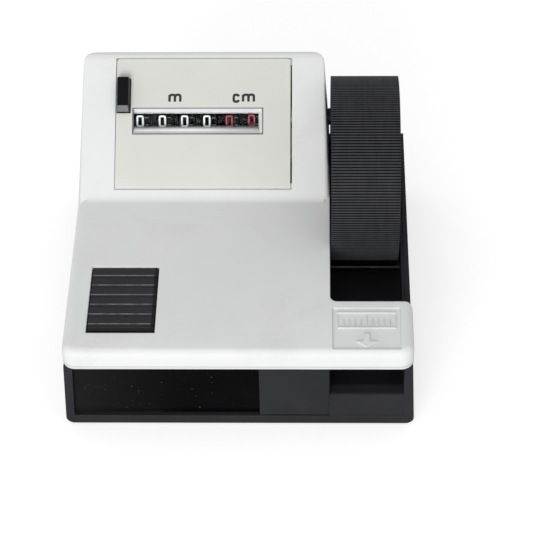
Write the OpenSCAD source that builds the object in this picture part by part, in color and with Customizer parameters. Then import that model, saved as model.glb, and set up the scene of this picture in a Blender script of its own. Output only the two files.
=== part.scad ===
// Cable length counter: a measuring wheel on a swinging arm presses a cable onto a roller
// and drives a six-drum counter in the housing beside it.
// Millimetres. X to the right, Y to the back, Z up, table at Z = 0, middle of the footprint at the origin.

/* [Base tray] */
// Width of the tray across its underside
base_w = 169.2; // [150:0.2:200]
// Lean of each tray side between the underside and the rim
rim_lean = 1.4; // [0:0.1:4]
// Depth of the tray, front to back
base_d = 169; // [150:0.5:200]
// Height of the rim above the table
rim_z = 41; // [38:0.5:46]
// Thickness of the tray walls
base_wall = 2.5; // [1.5:0.1:4]
// Thickness of the tray floor
base_floor = 2.5; // [1.5:0.1:4]
// Height of the rail below the front panel
rail_h = 5.2; // [3:0.1:8]
// Rounding of the two long lower edges
base_edge_r = 4; // [1:0.1:5]
// Width of the tray's front left post
post_w = 4.1; // [3:0.1:12]
// Radius of the bosses for the cover screws
boss_r = 3.4; // [3.2:0.1:4]
// Height that the feet stand out below the tray
foot_h = 1; // [0.6:0.1:3]
// Diameter of a foot
foot_d = 12; // [8:0.5:18]
// Distance of the feet from the tray's sides and ends
foot_in = 16.5; // [12:0.5:30]

/* [Front pieces] */
// Thickness of the recessed front panel
panel_t = 2; // [1:0.1:4]
// Part of the panel that lies behind the left post
panel_lap = 1.5; // [0.5:0.1:2]
// Width from the panel to the channel, which the front block fills
block_w = 33.9; // [20:0.1:50]
// Depth of the front block
block_d = 14; // [6:0.5:25]

/* [Cable channel] */
// Thickness of the left cheek
cheek_l = 2; // [1.2:0.1:3]
// Thickness of the right cheek
cheek_r = 1.2; // [0.8:0.1:3]
// Height of the front and rear thresholds
threshold_z = 21.2; // [18:0.1:26]
// Height of the channel floor under the wheel
channel_z = 15; // [13:0.1:17]
// Thickness of the channel floor
channel_t = 3; // [2:0.1:4]
// Length of the ramps between the thresholds and the floor
ramp_l = 23; // [15:0.5:30]
// Radius of the support roller
roller_r = 4.5; // [3:0.1:5]
// Height of the roller above the channel floor
roller_proud = 1.44; // [0.5:0.01:3]
// Gap between the resting wheel and the roller
roller_gap = 0.3; // [0.3:0.1:3]
// Radius of the roller axle
roller_axle_r = 1.5; // [1:0.1:2.5]
// Radius of the two polished guide bars
guide_r = 1.5; // [1:0.1:2.5]
// Distance of each guide bar from the wheel axle, front to back
guide_dy = 32; // [31:0.1:40]
// Height of the guide bars above the channel floor
guide_up = 10; // [8:0.1:11]

/* [Top cover] */
// Set-back of the cover's sides from the tray's underside
cover_in = 0.9; // [0:0.1:3]
// Lean of each cover side between its lower edge and its top
cover_lean = 1.5; // [0:0.1:4]
// Overhang of the cover at the front and at the back
lip_out = 1.5; // [0.5:0.1:4]
// Thickness of the cover walls
cover_wall = 2.2; // [1.5:0.1:3]
// Height of the cover's front edge, from the rim to the deck
deck_h = 11; // [9:0.5:16]
// Tilt of the sloping face
face_tilt = 35; // [28:0.5:40]
// Rounding of the deck's edges
lip_r = 4.2; // [1:0.1:5]
// Rounding of the crease
crease_r = 8; // [2:0.5:15]
// Rounding of the sloping face's side edges
ridge_r = 2.5; // [1:0.1:5]
// Depth of the flat strip along the top of the housing
top_strip = 3.6; // [2:0.1:6]
// Radius of the housing's back edge
back_r = 0.8; // [0.5:0.1:2]
// Rounding of the upright corners
corner_r = 6.5; // [3:0.1:9]
// Gap between the housing and the wheel
housing_gap = 0.5; // [0.4:0.1:3]
// Lean of the housing's right side, sideways for each millimetre of height
housing_lean = 0.058; // [0:0.001:0.08]
// Depth of the arm that covers the cable mouth
arm_cover_l = 34.5; // [30:0.1:50]
// Rounding of the notch's inner corner
notch_r = 3.4; // [1:0.1:6]
// Gap between the pivot sleeve and its slot
sleeve_gap = 0.9; // [0.5:0.1:3]

/* [Direction label] */
// Width of the sunk label field
label_w = 32.4; // [20:0.2:36]
// Depth of the label field, front to back
label_l = 27; // [25:0.2:30]
// Distance of the label field from the housing
label_x = 1.1; // [0.5:0.1:4]
// Distance of the label field from the front edge
label_y = 3.2; // [2:0.1:4]
// Sink of the label field
label_sink = 0.7; // [0.3:0.1:1.2]
// Height of the raised marks in it
label_raise = 0.6; // [0.2:0.1:1]
// Number of ruler marks
label_ticks = 11; // [5:1:13]

/* [Faceplate] */
// Width of the faceplate
plate_w = 89; // [80:0.2:100]
// Length of the faceplate up the slope
plate_l = 68.5; // [60:0.2:76]
// Distance of the faceplate's middle from the housing's right side
plate_off = 64.4; // [60:0.1:70]
// Start of the faceplate above the crease
plate_s = 6; // [5:0.1:10]
// Slope that is left above the faceplate
plate_top = 1.3; // [1:0.1:5]
// Thickness of the faceplate
plate_t = 1.5; // [1:0.1:2]
// Tilt of the faceplate against the sloping face
plate_tip = 1.2; // [0:0.1:1.5]
// Gap around the faceplate
plate_gap = 0.3; // [0.2:0.1:1]
// Wider gap at the faceplate's right side
plate_side = 0.8; // [0.3:0.1:1.2]
// Radius of the faceplate's upper corners
plate_r = 1.6; // [0.5:0.1:4]
// Length of the low strip along the faceplate's lower edge
plate_strip = 2.6; // [1:0.1:4]
// Width of the ledge that carries the faceplate
ledge_w = 3; // [2:0.1:4]

/* [Window] */
// Width of the window frame beyond the left-hand drum
win_left = 0.45; // [0.3:0.05:3]
// Width of the window frame beyond the right-hand drum
win_right = 0.65; // [0.3:0.05:3]
// Distance of the window frame from the faceplate's lower edge
win_up = 28.4; // [24:0.1:34]
// Height of the window frame, up the slope
win_h = 13.9; // [12:0.1:16]
// Height of the lower flank, seen up the slope
win_low = 3.1; // [2:0.1:4]
// Height of the upper flank
win_high = 2.6; // [1.6:0.1:4]
// Depth of the window frame
win_depth = 1.9; // [1.4:0.1:2.2]
// Thickness of the clear lens
lens_t = 0.5; // [0.3:0.1:0.8]

/* [Counter] */
// Distance of the counter axis from the window's upper edge
axis_low = 0.86; // [0:0.01:3]
// Gap between the sloping face and the drums
drum_gap = 2.54; // [2.4:0.01:4]
// Radius of a digit drum
drum_r = 12; // [10:0.1:13]
// Distance from one digit drum to the next
drum_pitch = 11.42; // [10.4:0.01:12.4]
// Distance of the right-hand digit from the faceplate's middle
digit_off = 24.85; // [22:0.01:26]
// Width of the printed band of a drum
band_w = 8.4; // [7:0.1:9]
// Distance from the left edge of the band to the middle of the digit
digit_in = 3.4; // [3:0.1:5]
// Radius of the drive shaft
shaft_r = 2; // [1.5:0.1:2.5]
// Step from the drum's surface down to the tips of its toothed ring
ring_step = 1.15; // [0.8:0.05:2]
// Teeth on the ring of a drum
ring_t = 20; // [16:2:24]
// Teeth on a carry pinion
carry_t = 8; // [6:1:9]
// Angle of the carry shaft below the counter axis, towards the back
carry_a = 50; // [45:1:60]
// Radius of the carry shaft
carry_shaft_r = 1.2; // [0.8:0.1:1.5]
// Gap between a drum's carry disc and the next drum's ring
disc_gap = 0.52; // [0.3:0.01:0.8]
// Thickness of the counter frame sheet
frame_t = 1.2; // [0.6:0.1:2]
// Distance of the frame from the left-hand drum
frame_left = 0.75; // [0.4:0.05:2]
// Distance of the frame from the right-hand drum
frame_right = 3.1; // [2:0.1:4]

/* [Reset key] */
// Width of the key
key_w = 6.4; // [5:0.1:8]
// Length of the key up the slope
key_l = 17.8; // [17:0.1:22]
// Height of the key above the sloping face
key_h = 4.2; // [3.2:0.1:6]
// Gap between the key and the window frame
key_side = 1.3; // [1:0.1:3]
// Overlap of the key and the window frame, up the slope
key_low = 2.4; // [0:0.1:6]
// Travel of the key
key_travel = 3; // [2:0.1:4]
// Slant at the lower end of the key
key_slant = 2.6; // [1:0.1:3]
// Depth of the key's stem below the sloping face
stem_l = 9; // [8:0.1:10]
// Distance of the stem from the key's left side
stem_in = 2.6; // [1:0.1:4]
// Height of the reset spring when the key is pressed down
spring_shut = 3.8; // [3.2:0.1:6]

/* [Measuring wheel] */
// Radius over the ribs
wheel_r = 46.5; // [43:0.1:50]
// Width of the wheel
wheel_w = 33.8; // [28:0.1:38]
// Gap between the wheel and the channel's left side
wheel_left = 0.8; // [0.5:0.1:3]
// Gap between the wheel and the channel's right side
wheel_right = 1.2; // [0.5:0.1:3]
// Number of ribs on the tyre
rib_n = 200; // [120:10:240]
// Height of a rib
rib_h = 0.55; // [0.2:0.05:0.8]
// Thickness of the tyre with its ribs
tyre_t = 1.7; // [1.2:0.1:3]
// Thickness of the wheel rim
rim_t = 1.6; // [1:0.1:3]
// Thickness of the wheel disc
web_t = 3; // [2:0.1:5]
// Recess of the wheel disc
web_in = 4.8; // [3:0.1:8]
// Radius of the wheel's hub
hub_boss_r = 8; // [6:0.1:12]
// Recess of the wheel's hub
hub_in = 2.2; // [1.9:0.1:4]
// Radius of the wheel axle
axle_r = 3; // [2:0.1:4]

/* [Arm and gears] */
// Distance of the arm from the wheel's left edge
arm_in = 2.2; // [1:0.1:4]
// Thickness of the arm
arm_t = 3.5; // [2.5:0.1:5]
// Width of the arm
arm_w = 10; // [8:0.5:14]
// Outer radius of the pivot sleeve
sleeve_r = 4.3; // [3.6:0.1:5]
// Gap between the tips of the pinion and the wheel rim
gear_room = 0.86; // [0.5:0.01:4]
// Teeth of the gear on the wheel
hub_t = 48; // [40:2:56]
// Teeth of the idler and of the pinion
pinion_t = 16; // [14:2:18]
// Radius of the idler pin
idler_pin_r = 1.5; // [1:0.1:2]
// Face width of the gears
gear_w = 5; // [3:0.1:7]
// Gap between the arm and the gears
gear_gap = 0.8; // [0.3:0.1:2]
// Length of the lifting crank
crank_len = 20; // [16:0.5:22]
// Droop of the resting crank
crank_droop = 50; // [40:1:60]
// Thickness of the crank
crank_t = 3.5; // [2.5:0.1:4]
// Radius of the crank pin
crank_pin_r = 2.5; // [2:0.1:3]
// Radius of the crank pin's riveted end
crank_rivet_r = 1.6; // [1:0.1:1.8]
// Distance of the bearing bracket from the housing's right side
bracket_in = 4.9; // [4:0.1:6]
// Thickness of the bearing bracket
bracket_t = 3.5; // [2.5:0.1:4]
// Room for the arm spring between the crank and the bracket
spring_room = 8; // [7.6:0.1:9]

/* [Lift button] */
// Width of the button
button_w = 32.1; // [24:0.1:36]
// Length of the button, front to back
button_l = 42.9; // [36:0.1:48]
// Distance of the button's middle from the cover's left side
button_x_in = 27.5; // [22:0.1:34]
// Distance of the button from the cover's front edge
button_y_in = 15; // [10:0.1:20]
// Height of the button body
button_h = 6; // [4:0.1:8]
// Sink of the button below the deck
button_sink = 0.6; // [0:0.1:1.5]
// Number of ribs on the button
button_ribs = 6; // [3:1:8]
// Height of a button rib
button_rib_h = 0.7; // [0.3:0.1:1.2]
// Width of a button rib
button_rib_w = 0.9; // [0.5:0.1:2]
// Gap at the sides and at the back of the button
button_gap = 0.45; // [0.3:0.05:1]
// Gap in front of the button
button_front_gap = 1.7; // [1.6:0.1:2.5]
// Distance of the rocker pin behind the button
rocker_back = 15.6; // [12:0.1:18]
// Depth of the rocker pin below the deck
rocker_drop = 23; // [20:0.1:25]
// Radius of the rocker pin
rocker_pin_r = 2; // [1.5:0.1:2.5]
// Outer radius of the rocker tube
rocker_r = 4.5; // [3.5:0.1:5]
// Width of the rocker's pad
pad_w = 6.5; // [4:0.1:7]
// Thickness of the two posts that hold the rocker pin
rocker_post_t = 4; // [2:0.1:5]

/* [Fits] */
// Radial gap of a shaft that turns in a hole
run_gap = 0.06; // [0.02:0.01:0.1]
// Gap between pieces that pass each other
pass_gap = 0.3; // [0.3:0.05:0.6]
// Gap between the resting crank pin and the rocker
lift_gap = 0.45; // [0.45:0.05:0.8]
// Gap between neighbouring fixed pieces
seam = 0.12; // [0.05:0.01:0.3]
// Gap between the channel and the tray's right wall
wall_gap = 0.1; // [0.05:0.01:0.3]
// Gap between the cover and the pieces that end below it
top_gap = 0.4; // [0.2:0.1:1]
// Radius of the screw shanks
screw_r = 1.5; // [1:0.1:2]

/* [Hidden] */
hb = base_d / 2;
rim_w = base_w - 2 * rim_lean;
floor_z = foot_h + base_floor;
rail_z = foot_h + rail_h;
deck_z = rim_z + deck_h;
hc = hb + lip_out;
hw = base_w / 2 - cover_in;
ht = hw - cover_lean;
ct = cos(face_tilt);
st = sin(face_tilt);
channel_x1 = rim_w / 2 - base_wall - cheek_r - wall_gap;
wheel_x1 = channel_x1 - wheel_right;
wheel_x0 = wheel_x1 - wheel_w;
channel_x0 = wheel_x0 - wheel_left;
housing_x = wheel_x0 - housing_gap;
panel_x0 = -rim_w / 2 + post_w;
panel_x1 = channel_x0 - block_w;
notch_y = -hc + arm_cover_l;
crease_y = hc - top_strip - (plate_s + plate_l + plate_top) * ct;
top_z = deck_z + (hc - top_strip - crease_y) * st / ct;
ball_in = corner_r - back_r;
housing_top_x = housing_x - housing_lean * (top_z - deck_z);
plate_x = housing_x - plate_off;
win_s0 = plate_s + win_up;
win_s1 = win_s0 + win_h;
axis_s = win_s1 - axis_low;
axis_y = crease_y + axis_s * ct + (drum_r + drum_gap) * st;
axis_z = deck_z + axis_s * st - (drum_r + drum_gap) * ct;
tyre_in = wheel_r - tyre_t;
rim_in = tyre_in - rim_t;
gear_m = (rim_in - gear_room) / (hub_t / 2 + 2 * pinion_t + 0.85);
hub_r = gear_m * hub_t / 2;
pinion_r = gear_m * pinion_t / 2;
idler_d = hub_r + pinion_r;
arm_len = idler_d + 2 * pinion_r;
roller_z = channel_z + roller_proud - roller_r;
wheel_z = channel_z + roller_proud + roller_gap + wheel_r;
arm_droop = asin((axis_z - wheel_z) / arm_len);
wheel_y = axis_y - arm_len * cos(arm_droop);
guide_z = channel_z + guide_up;
arm_x0 = wheel_x0 + arm_in;
arm_x1 = arm_x0 + arm_t;
gear_x0 = arm_x1 + gear_gap;
gear_x1 = gear_x0 + gear_w;
web_x1 = wheel_x1 - web_in;
hub_x1 = wheel_x1 - hub_in;
digit_x = plate_x + digit_off;
carry_m = (drum_r - ring_step) / (ring_t / 2 + 0.85);
carry_tip_r = carry_m * (carry_t / 2 + 0.85);
carry_d = carry_m * (ring_t + carry_t) / 2;
carry_y = axis_y + carry_d * cos(carry_a);
carry_z = axis_z - carry_d * sin(carry_a);
between_w = drum_pitch - band_w;
side_t = (between_w - disc_gap) / 2;
disc_r = carry_d - carry_tip_r - pass_gap;
boss_in_r = carry_m * (ring_t / 2 - 3.6);
win_x0 = digit_x - 5 * drum_pitch - digit_in - win_left;
win_x1 = digit_x - digit_in + band_w + win_right;
frame_x0 = digit_x - 5 * drum_pitch - digit_in - frame_left - frame_t;
frame_x1 = digit_x - digit_in + band_w + frame_right;
frame_y0 = axis_y - 10.5;
frame_y1 = hb - base_wall;
bracket_x1 = housing_x - bracket_in;
bracket_x0 = bracket_x1 - bracket_t;
crank_x1 = bracket_x0 - spring_room;
crank_x0 = crank_x1 - crank_t;
pad_x1 = crank_x0 - 1;
pad_x0 = pad_x1 - pad_w;
crank_y = axis_y - crank_len * cos(crank_droop);
crank_z = axis_z - crank_len * sin(crank_droop);
pad_z = crank_z - crank_pin_r - lift_gap;
button_x = -hw + button_x_in;
button_front = -hc + button_y_in;
button_y = button_front + button_l;
button_top = deck_z - button_sink;
rocker_y = button_y + rocker_back;
rocker_z = deck_z - rocker_drop;
rocker_post_x0 = button_x - 10.6;
rocker_post_x1 = housing_x - 3.9 - rocker_post_t;
rocker_x0 = rocker_post_x0 + rocker_post_t + 1;
rocker_x1 = rocker_post_x1 - 1;
key_x0 = win_x0 - key_side - key_w;
key_s0 = win_s1 - key_low;
stem_x0 = key_x0 + stem_in;
stem_x1 = frame_x0 - 0.4;
spring_s = key_s0 + key_l - 6.3;
spring_turns = 6;
spring_pitch = (key_travel + spring_shut - 0.8) / spring_turns;
spring_tab = stem_l + key_travel + spring_shut;
boss_list = [[-hw + 7.9, rocker_y - 5.5], [panel_x1 - 11.7, -hb + 9], [-hw + 11.9, hb - 3.7],
    [housing_x - 23.9, hb - 3.7]];
bracket_screw_list = [for (s = [-1, 1]) [bracket_x0 - 4, axis_y + s * 8]];
frame_screw_list = [for (x = [frame_x0 + 10, frame_x1 - 10]) [x, axis_y - 1.5]];
foot_list = [for (x = [-1, 1], y = [-1, 1]) [x * (base_w / 2 - foot_in), y * (hb - foot_in)]];
facets = 64;

black = [0.10, 0.10, 0.11];
grey_dark = [0.20, 0.20, 0.21];
white = [0.92, 0.92, 0.91];
beige = [0.86, 0.86, 0.83];
steel = [0.72, 0.73, 0.75];
brass = [0.78, 0.64, 0.32];
rubber = [0.14, 0.14, 0.14];

function arc(cx, cy, r, a0, a1, n = 10) =
    [for (i = [0 : n]) [cx + r * cos(a0 + (a1 - a0) * i / n), cy + r * sin(a0 + (a1 - a0) * i / n)]];

function polar(r, a) = [r * cos(a), r * sin(a)];

// One tooth needs six points: root, flank foot, tip, tip, flank foot, root.
function gear_points(t, m, phase = 0) =
    let (rp = m * t / 2, ra = rp + 0.85 * m, rr = rp - 1.15 * m, u = 360 / t)
    [for (i = [0 : t - 1], k = [0 : 5])
        polar(k == 2 || k == 3 ? ra : (k == 1 || k == 4 ? rp : rr),
            phase + u * (i + [-0.36, -0.2, -0.1, 0.1, 0.2, 0.36][k]))];

// A gear between two planes across X. The phase turns its first tooth, so a pair meets tooth to gap.
module gear(x0, x1, t, m, y, z, phase, bore)
    translate([x0, y, z])
        rotate([90, 0, 90])
            linear_extrude(x1 - x0)
                difference() {
                    polygon(gear_points(t, m, phase));
                    circle(r = bore, $fn = 40);
                }

module xcyl(x0, x1, r, y, z, fn = facets)
    translate([x0, y, z])
        rotate([0, 90, 0])
            cylinder(r = r, h = x1 - x0, $fn = fn);

module xext(x0, x1)
    translate([x0, 0, 0])
        rotate([90, 0, 90])
            linear_extrude(x1 - x0)
                children();

module yext(y0, y1)
    translate([0, y1, 0])
        rotate([90, 0, 0])
            linear_extrude(y1 - y0)
                children();

module block(x0, x1, y0, y1, z0, z1)
    translate([x0, y0, z0])
        cube([x1 - x0, y1 - y0, z1 - z0]);

// Frame of the sloping face: local Y runs up the slope from the crease, local Z stands out of the face.
module on_face()
    translate([0, crease_y, deck_z])
        rotate([face_tilt, 0, 0])
            children();

// Frame of the faceplate, which lies a little flatter than the face.
module on_plate()
    on_face()
        translate([0, plate_s + plate_l / 2, 0])
            rotate([-plate_tip, 0, 0])
                translate([0, -plate_s - plate_l / 2, 0])
                    children();

module screw(x, y, z0, z1, head_h, head_r, shank_r)
    translate([x, y, z0]) {
        difference() {
            cylinder(r = head_r, h = head_h, $fn = 32);
            translate([-head_r * 0.7, -0.4, -0.1])
                cube([head_r * 1.4, 0.8, 0.6]);
        }
        translate([0, 0, head_h - 0.01])
            cylinder(r = shank_r, h = z1 - z0 - head_h, $fn = 24);
    }

// Least distance between the points of one ring and those of the rings about a turn further on.
function coil_gap(pts, n) =
    min([for (j = [5 : min(11, n)], a = [0 : 5], b = [0 : 5]) norm(pts[a] - pts[6 * j + b])]);

// Coil along local Z, one closed tube: eight rings to each curl, six sides.
module coil(r, wire, pitch, turns) {
    n = round(turns * 8);
    pts = [for (i = [0 : n], k = [0 : 5])
        let (a = 45 * i, q = r + wire / 2 * cos(60 * k))
        [q * cos(a), q * sin(a), pitch * i / 8 + wire / 2 * sin(60 * k)]];
    sides = [for (i = [0 : n - 1], k = [0 : 5])
        [i * 6 + k, i * 6 + (k + 1) % 6, (i + 1) * 6 + (k + 1) % 6, (i + 1) * 6 + k]];
    echo(str("least gap of the coil to itself: ", coil_gap(pts, n)));
    polyhedron(pts, concat([[5, 4, 3, 2, 1, 0]], sides, [[for (k = [0 : 5]) n * 6 + k]]), convexity = 8);
}

// Base

module base_section(g)
    polygon(concat(
        [[-rim_w / 2 + g, rim_z + g], [rim_w / 2 - g, rim_z + g]],
        arc(base_w / 2 - base_edge_r, foot_h + base_edge_r, base_edge_r - min(g, 1.5), 0, -90, 6),
        arc(-base_w / 2 + base_edge_r, foot_h + base_edge_r, base_edge_r - min(g, 1.5), 270, 180, 6)));

module base_tray() color(grey_dark)
    difference() {
        union() {
            difference() {
                yext(-hb, hb)
                    base_section(0);
                yext(-hb + base_wall, hb - base_wall)
                    polygon([[-rim_w / 2 + base_wall, rim_z + 1], [rim_w / 2 - base_wall, rim_z + 1],
                        [base_w / 2 - base_wall, floor_z], [-base_w / 2 + base_wall, floor_z]]);
                yext(-hb - 1, -hb + base_wall + 0.1)
                    polygon([[panel_x0, rim_z + 1], [panel_x0 - (base_w - rim_w) / 2, rail_z],
                        [channel_x1 + seam, rail_z], [channel_x1 + seam, rim_z + 1]]);
                block(channel_x0 + 3, channel_x1, hb - base_wall - 0.1, hb + 1, threshold_z, rim_z + 1);
            }
            for (p = boss_list)
                translate([p[0], p[1], floor_z - 0.1])
                    cylinder(r = boss_r, h = rim_z - floor_z + 0.1, $fn = 32);
            for (x = [rocker_post_x0, rocker_post_x1])
                difference() {
                    block(x, x + rocker_post_t, rocker_y - 6, rocker_y + 6, floor_z - 0.1, rocker_z + 5);
                    xcyl(x - 1, x + rocker_post_t + 1, rocker_pin_r, rocker_y, rocker_z, 40);
                }
        }
        for (p = boss_list)
            translate([p[0], p[1], foot_h - 0.1]) {
                cylinder(r = 2 * screw_r, h = 1.5, $fn = 32);
                cylinder(r = screw_r, h = rim_z, $fn = 24);
            }
        for (p = concat(bracket_screw_list, frame_screw_list))
            translate([p[0], p[1], floor_z - 1])
                cylinder(r = screw_r, h = 3, $fn = 24);
    }

module front_panel() color(black)
    block(panel_x0 - panel_lap, panel_x1, -hb + base_wall, -hb + base_wall + panel_t,
        floor_z, rim_z - top_gap);

module front_block() color(grey_dark)
    union() {
        block(panel_x1 + seam, channel_x0 - seam, -hb + 0.2, -hb + base_wall,
            rail_z + 0.5, rim_z - top_gap);
        block(panel_x1 + seam, channel_x0 - cheek_l - seam, -hb + base_wall, -hb + block_d,
            floor_z, rim_z - top_gap);
    }

module cable_channel() color(grey_dark)
    difference() {
        union() {
            xext(channel_x0, channel_x1)
                polygon(concat(
                    [[-hb + 0.2, rail_z + seam]],
                    arc(-hb + 1.7, threshold_z - 1.5, 1.5, 180, 90, 5),
                    [[-hb + 7, threshold_z], [-hb + 7 + ramp_l, channel_z], [hb - 7 - ramp_l, channel_z],
                     [hb - 7, threshold_z], [hb - base_wall - seam, threshold_z],
                     [hb - base_wall - seam, threshold_z - channel_t], [hb - 7, threshold_z - channel_t],
                     [hb - 7 - ramp_l, channel_z - channel_t], [-hb + 7 + ramp_l, channel_z - channel_t],
                     [-hb + 7, threshold_z - channel_t], [-hb + 3, threshold_z - channel_t],
                     [-hb + 3, rail_z + seam]]));
            block(channel_x0 - cheek_l, channel_x0, -hb + base_wall, hb - base_wall - seam,
                floor_z, rim_z - top_gap);
            block(channel_x1, channel_x1 + cheek_r, -hb + base_wall + seam, hb - base_wall - seam,
                floor_z, rim_z - top_gap);
        }
        block(channel_x0 + 1.6, channel_x1 - 1.6, wheel_y - roller_r - 1.5, wheel_y + roller_r + 1.5,
            floor_z + 1, channel_z + 1);
        block(channel_x0 + 2.9, channel_x1 + 5, hb - base_wall - 0.3, hb, threshold_z, rim_z + 1);
        xcyl(channel_x0 - cheek_l - 1, channel_x1 + cheek_r + 1, roller_axle_r, wheel_y, roller_z, 32);
        for (s = [-1, 1])
            xcyl(channel_x0 - cheek_l - 1, channel_x1 + cheek_r + 1, guide_r,
                wheel_y + s * guide_dy, guide_z, 40);
    }

module support_roller() color(steel)
    difference() {
        union() {
            xcyl(channel_x0 + 2.2, channel_x1 - 2.2, roller_r - 0.4, wheel_y, roller_z);
            xcyl(channel_x0 + 2.6, channel_x1 - 2.6, roller_r, wheel_y, roller_z);
        }
        xcyl(channel_x0, channel_x1, roller_axle_r + run_gap, wheel_y, roller_z, 40);
    }

module roller_axle() color(steel)
    xcyl(channel_x0 - cheek_l, channel_x1 + cheek_r, roller_axle_r, wheel_y, roller_z, 32);

module guide_bar(side) color(steel)
    xcyl(channel_x0 - cheek_l, channel_x1 + cheek_r, guide_r, wheel_y + side * guide_dy, guide_z, 40);

module front_guide_bar() guide_bar(-1);

module rear_guide_bar() guide_bar(1);

module rubber_feet() color(rubber)
    for (p = foot_list)
        translate([p[0], p[1], 0])
            union() {
                cylinder(r = foot_d / 2 - 0.4, h = foot_h, $fn = 40);
                translate([0, 0, 0.3])
                    cylinder(r = foot_d / 2, h = foot_h - 0.3, $fn = 40);
            }

module base_screws() color(steel)
    for (p = boss_list)
        screw(p[0], p[1], foot_h + 0.2, rim_z + 6, 1.2, 2 * screw_r - 0.1, screw_r);

// Cover

// Corner of the deck: an upright post with a rounded top edge.
module deck_post()
    rotate_extrude($fn = 40)
        polygon(concat(
            [[0, rim_z], [corner_r, rim_z]],
            arc(corner_r - lip_r, deck_z - lip_r, lip_r, 0, 90, 6),
            [[0, deck_z]]));

module deck_body()
    hull()
        for (x = [-hw + corner_r - 0.02, hw - corner_r], y = [-hc + corner_r, crease_y + 2 * corner_r])
            translate([x, y, 0])
                deck_post();

// Height of a ball's middle when the ball touches the sloping face or the top strip from below.
function under_slope(y, r) = min(top_z - r, deck_z + ((y - crease_y) * st - r) / ct);

module edge_ball(x, y, r)
    translate([x, y, under_slope(y, r)])
        sphere(r = r, $fn = 28);

// Housing above the deck. Balls round its edges, small ones its back corners, and low feet hold its sides.
module housing_body()
    hull() {
        for (x = [-hw + corner_r, housing_x - corner_r + 0.05], y = [crease_y + corner_r, hc - corner_r])
            translate([x, y, rim_z])
                cylinder(r = corner_r, h = deck_h - 0.9, $fn = 40);
        for (x = [-hw + ridge_r, housing_x - ridge_r])
            edge_ball(x, crease_y - 6, ridge_r);
        for (x = [-ht + ridge_r, housing_top_x - ridge_r])
            edge_ball(x, hc - corner_r, ridge_r);
        for (a = [90:22.5:180]) {
            edge_ball(-ht + corner_r + ball_in * cos(a), hc - corner_r + ball_in * sin(a), back_r);
            edge_ball(housing_top_x - corner_r - ball_in * cos(a), hc - corner_r + ball_in * sin(a), back_r);
        }
    }

module crease_fillet()
    xext(-hw + lip_r + 0.5, housing_x - ridge_r)
        polygon(concat(
            [[crease_y, deck_z - 1]],
            arc(crease_y - crease_r * tan(face_tilt / 2), deck_z + crease_r, crease_r,
                face_tilt - 90, -90, 8)));

module cover_cavity_side()
    let (w = cover_wall, iy = crease_y + w * tan(face_tilt / 2))
        polygon([[-hc + w, rim_z - 1], [-hc + w, deck_z - w], [iy, deck_z - w],
            [iy + (top_z - deck_z) / tan(face_tilt), top_z - w], [hc - w, top_z - w], [hc - w, rim_z - 1]]);

module cover_front(g)
    polygon([[-hw + g, rim_z - 1], [-ht + g, top_z + 1], [ht - g, top_z + 1], [hw - g, rim_z - 1]]);

module cover_plan(g)
    translate([-hw + g, -hc + g])
        union() {
            translate([corner_r - g, 0])
                square([2 * (hw - corner_r), 2 * (hc - g)]);
            translate([0, corner_r - g])
                square([2 * (hw - g), 2 * (hc - corner_r)]);
            for (x = [corner_r - g, 2 * hw - corner_r - g], y = [corner_r - g, 2 * hc - corner_r - g])
                translate([x, y])
                    circle(r = corner_r - g, $fn = 40);
        }

// Space beside the housing where the wheel turns, grown by g for the wall around it.
module wheel_notch(g)
    translate([0, 0, rim_z - 5])
        linear_extrude(top_z)
            polygon(concat(
                [[housing_x - g, hc + 5]],
                [[housing_x - g, hc - corner_r]],
                arc(housing_x + notch_r, notch_y + notch_r, notch_r + g, 180, 270, 8),
                arc(hw - 3, notch_y - 3, 3 - min(g, 2.2), 90, 0, 6),
                [[hw + 5, notch_y - 3], [hw + 5, hc + 5]]));

// The same space above the deck, where the housing's side leans away from the wheel.
module lean_notch(g)
    yext(crease_y - 8, hc + 5)
        polygon([[housing_x - g, deck_z], [housing_x - g - housing_lean * 60, deck_z + 60],
            [hw, deck_z + 60], [hw, deck_z]]);

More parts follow.
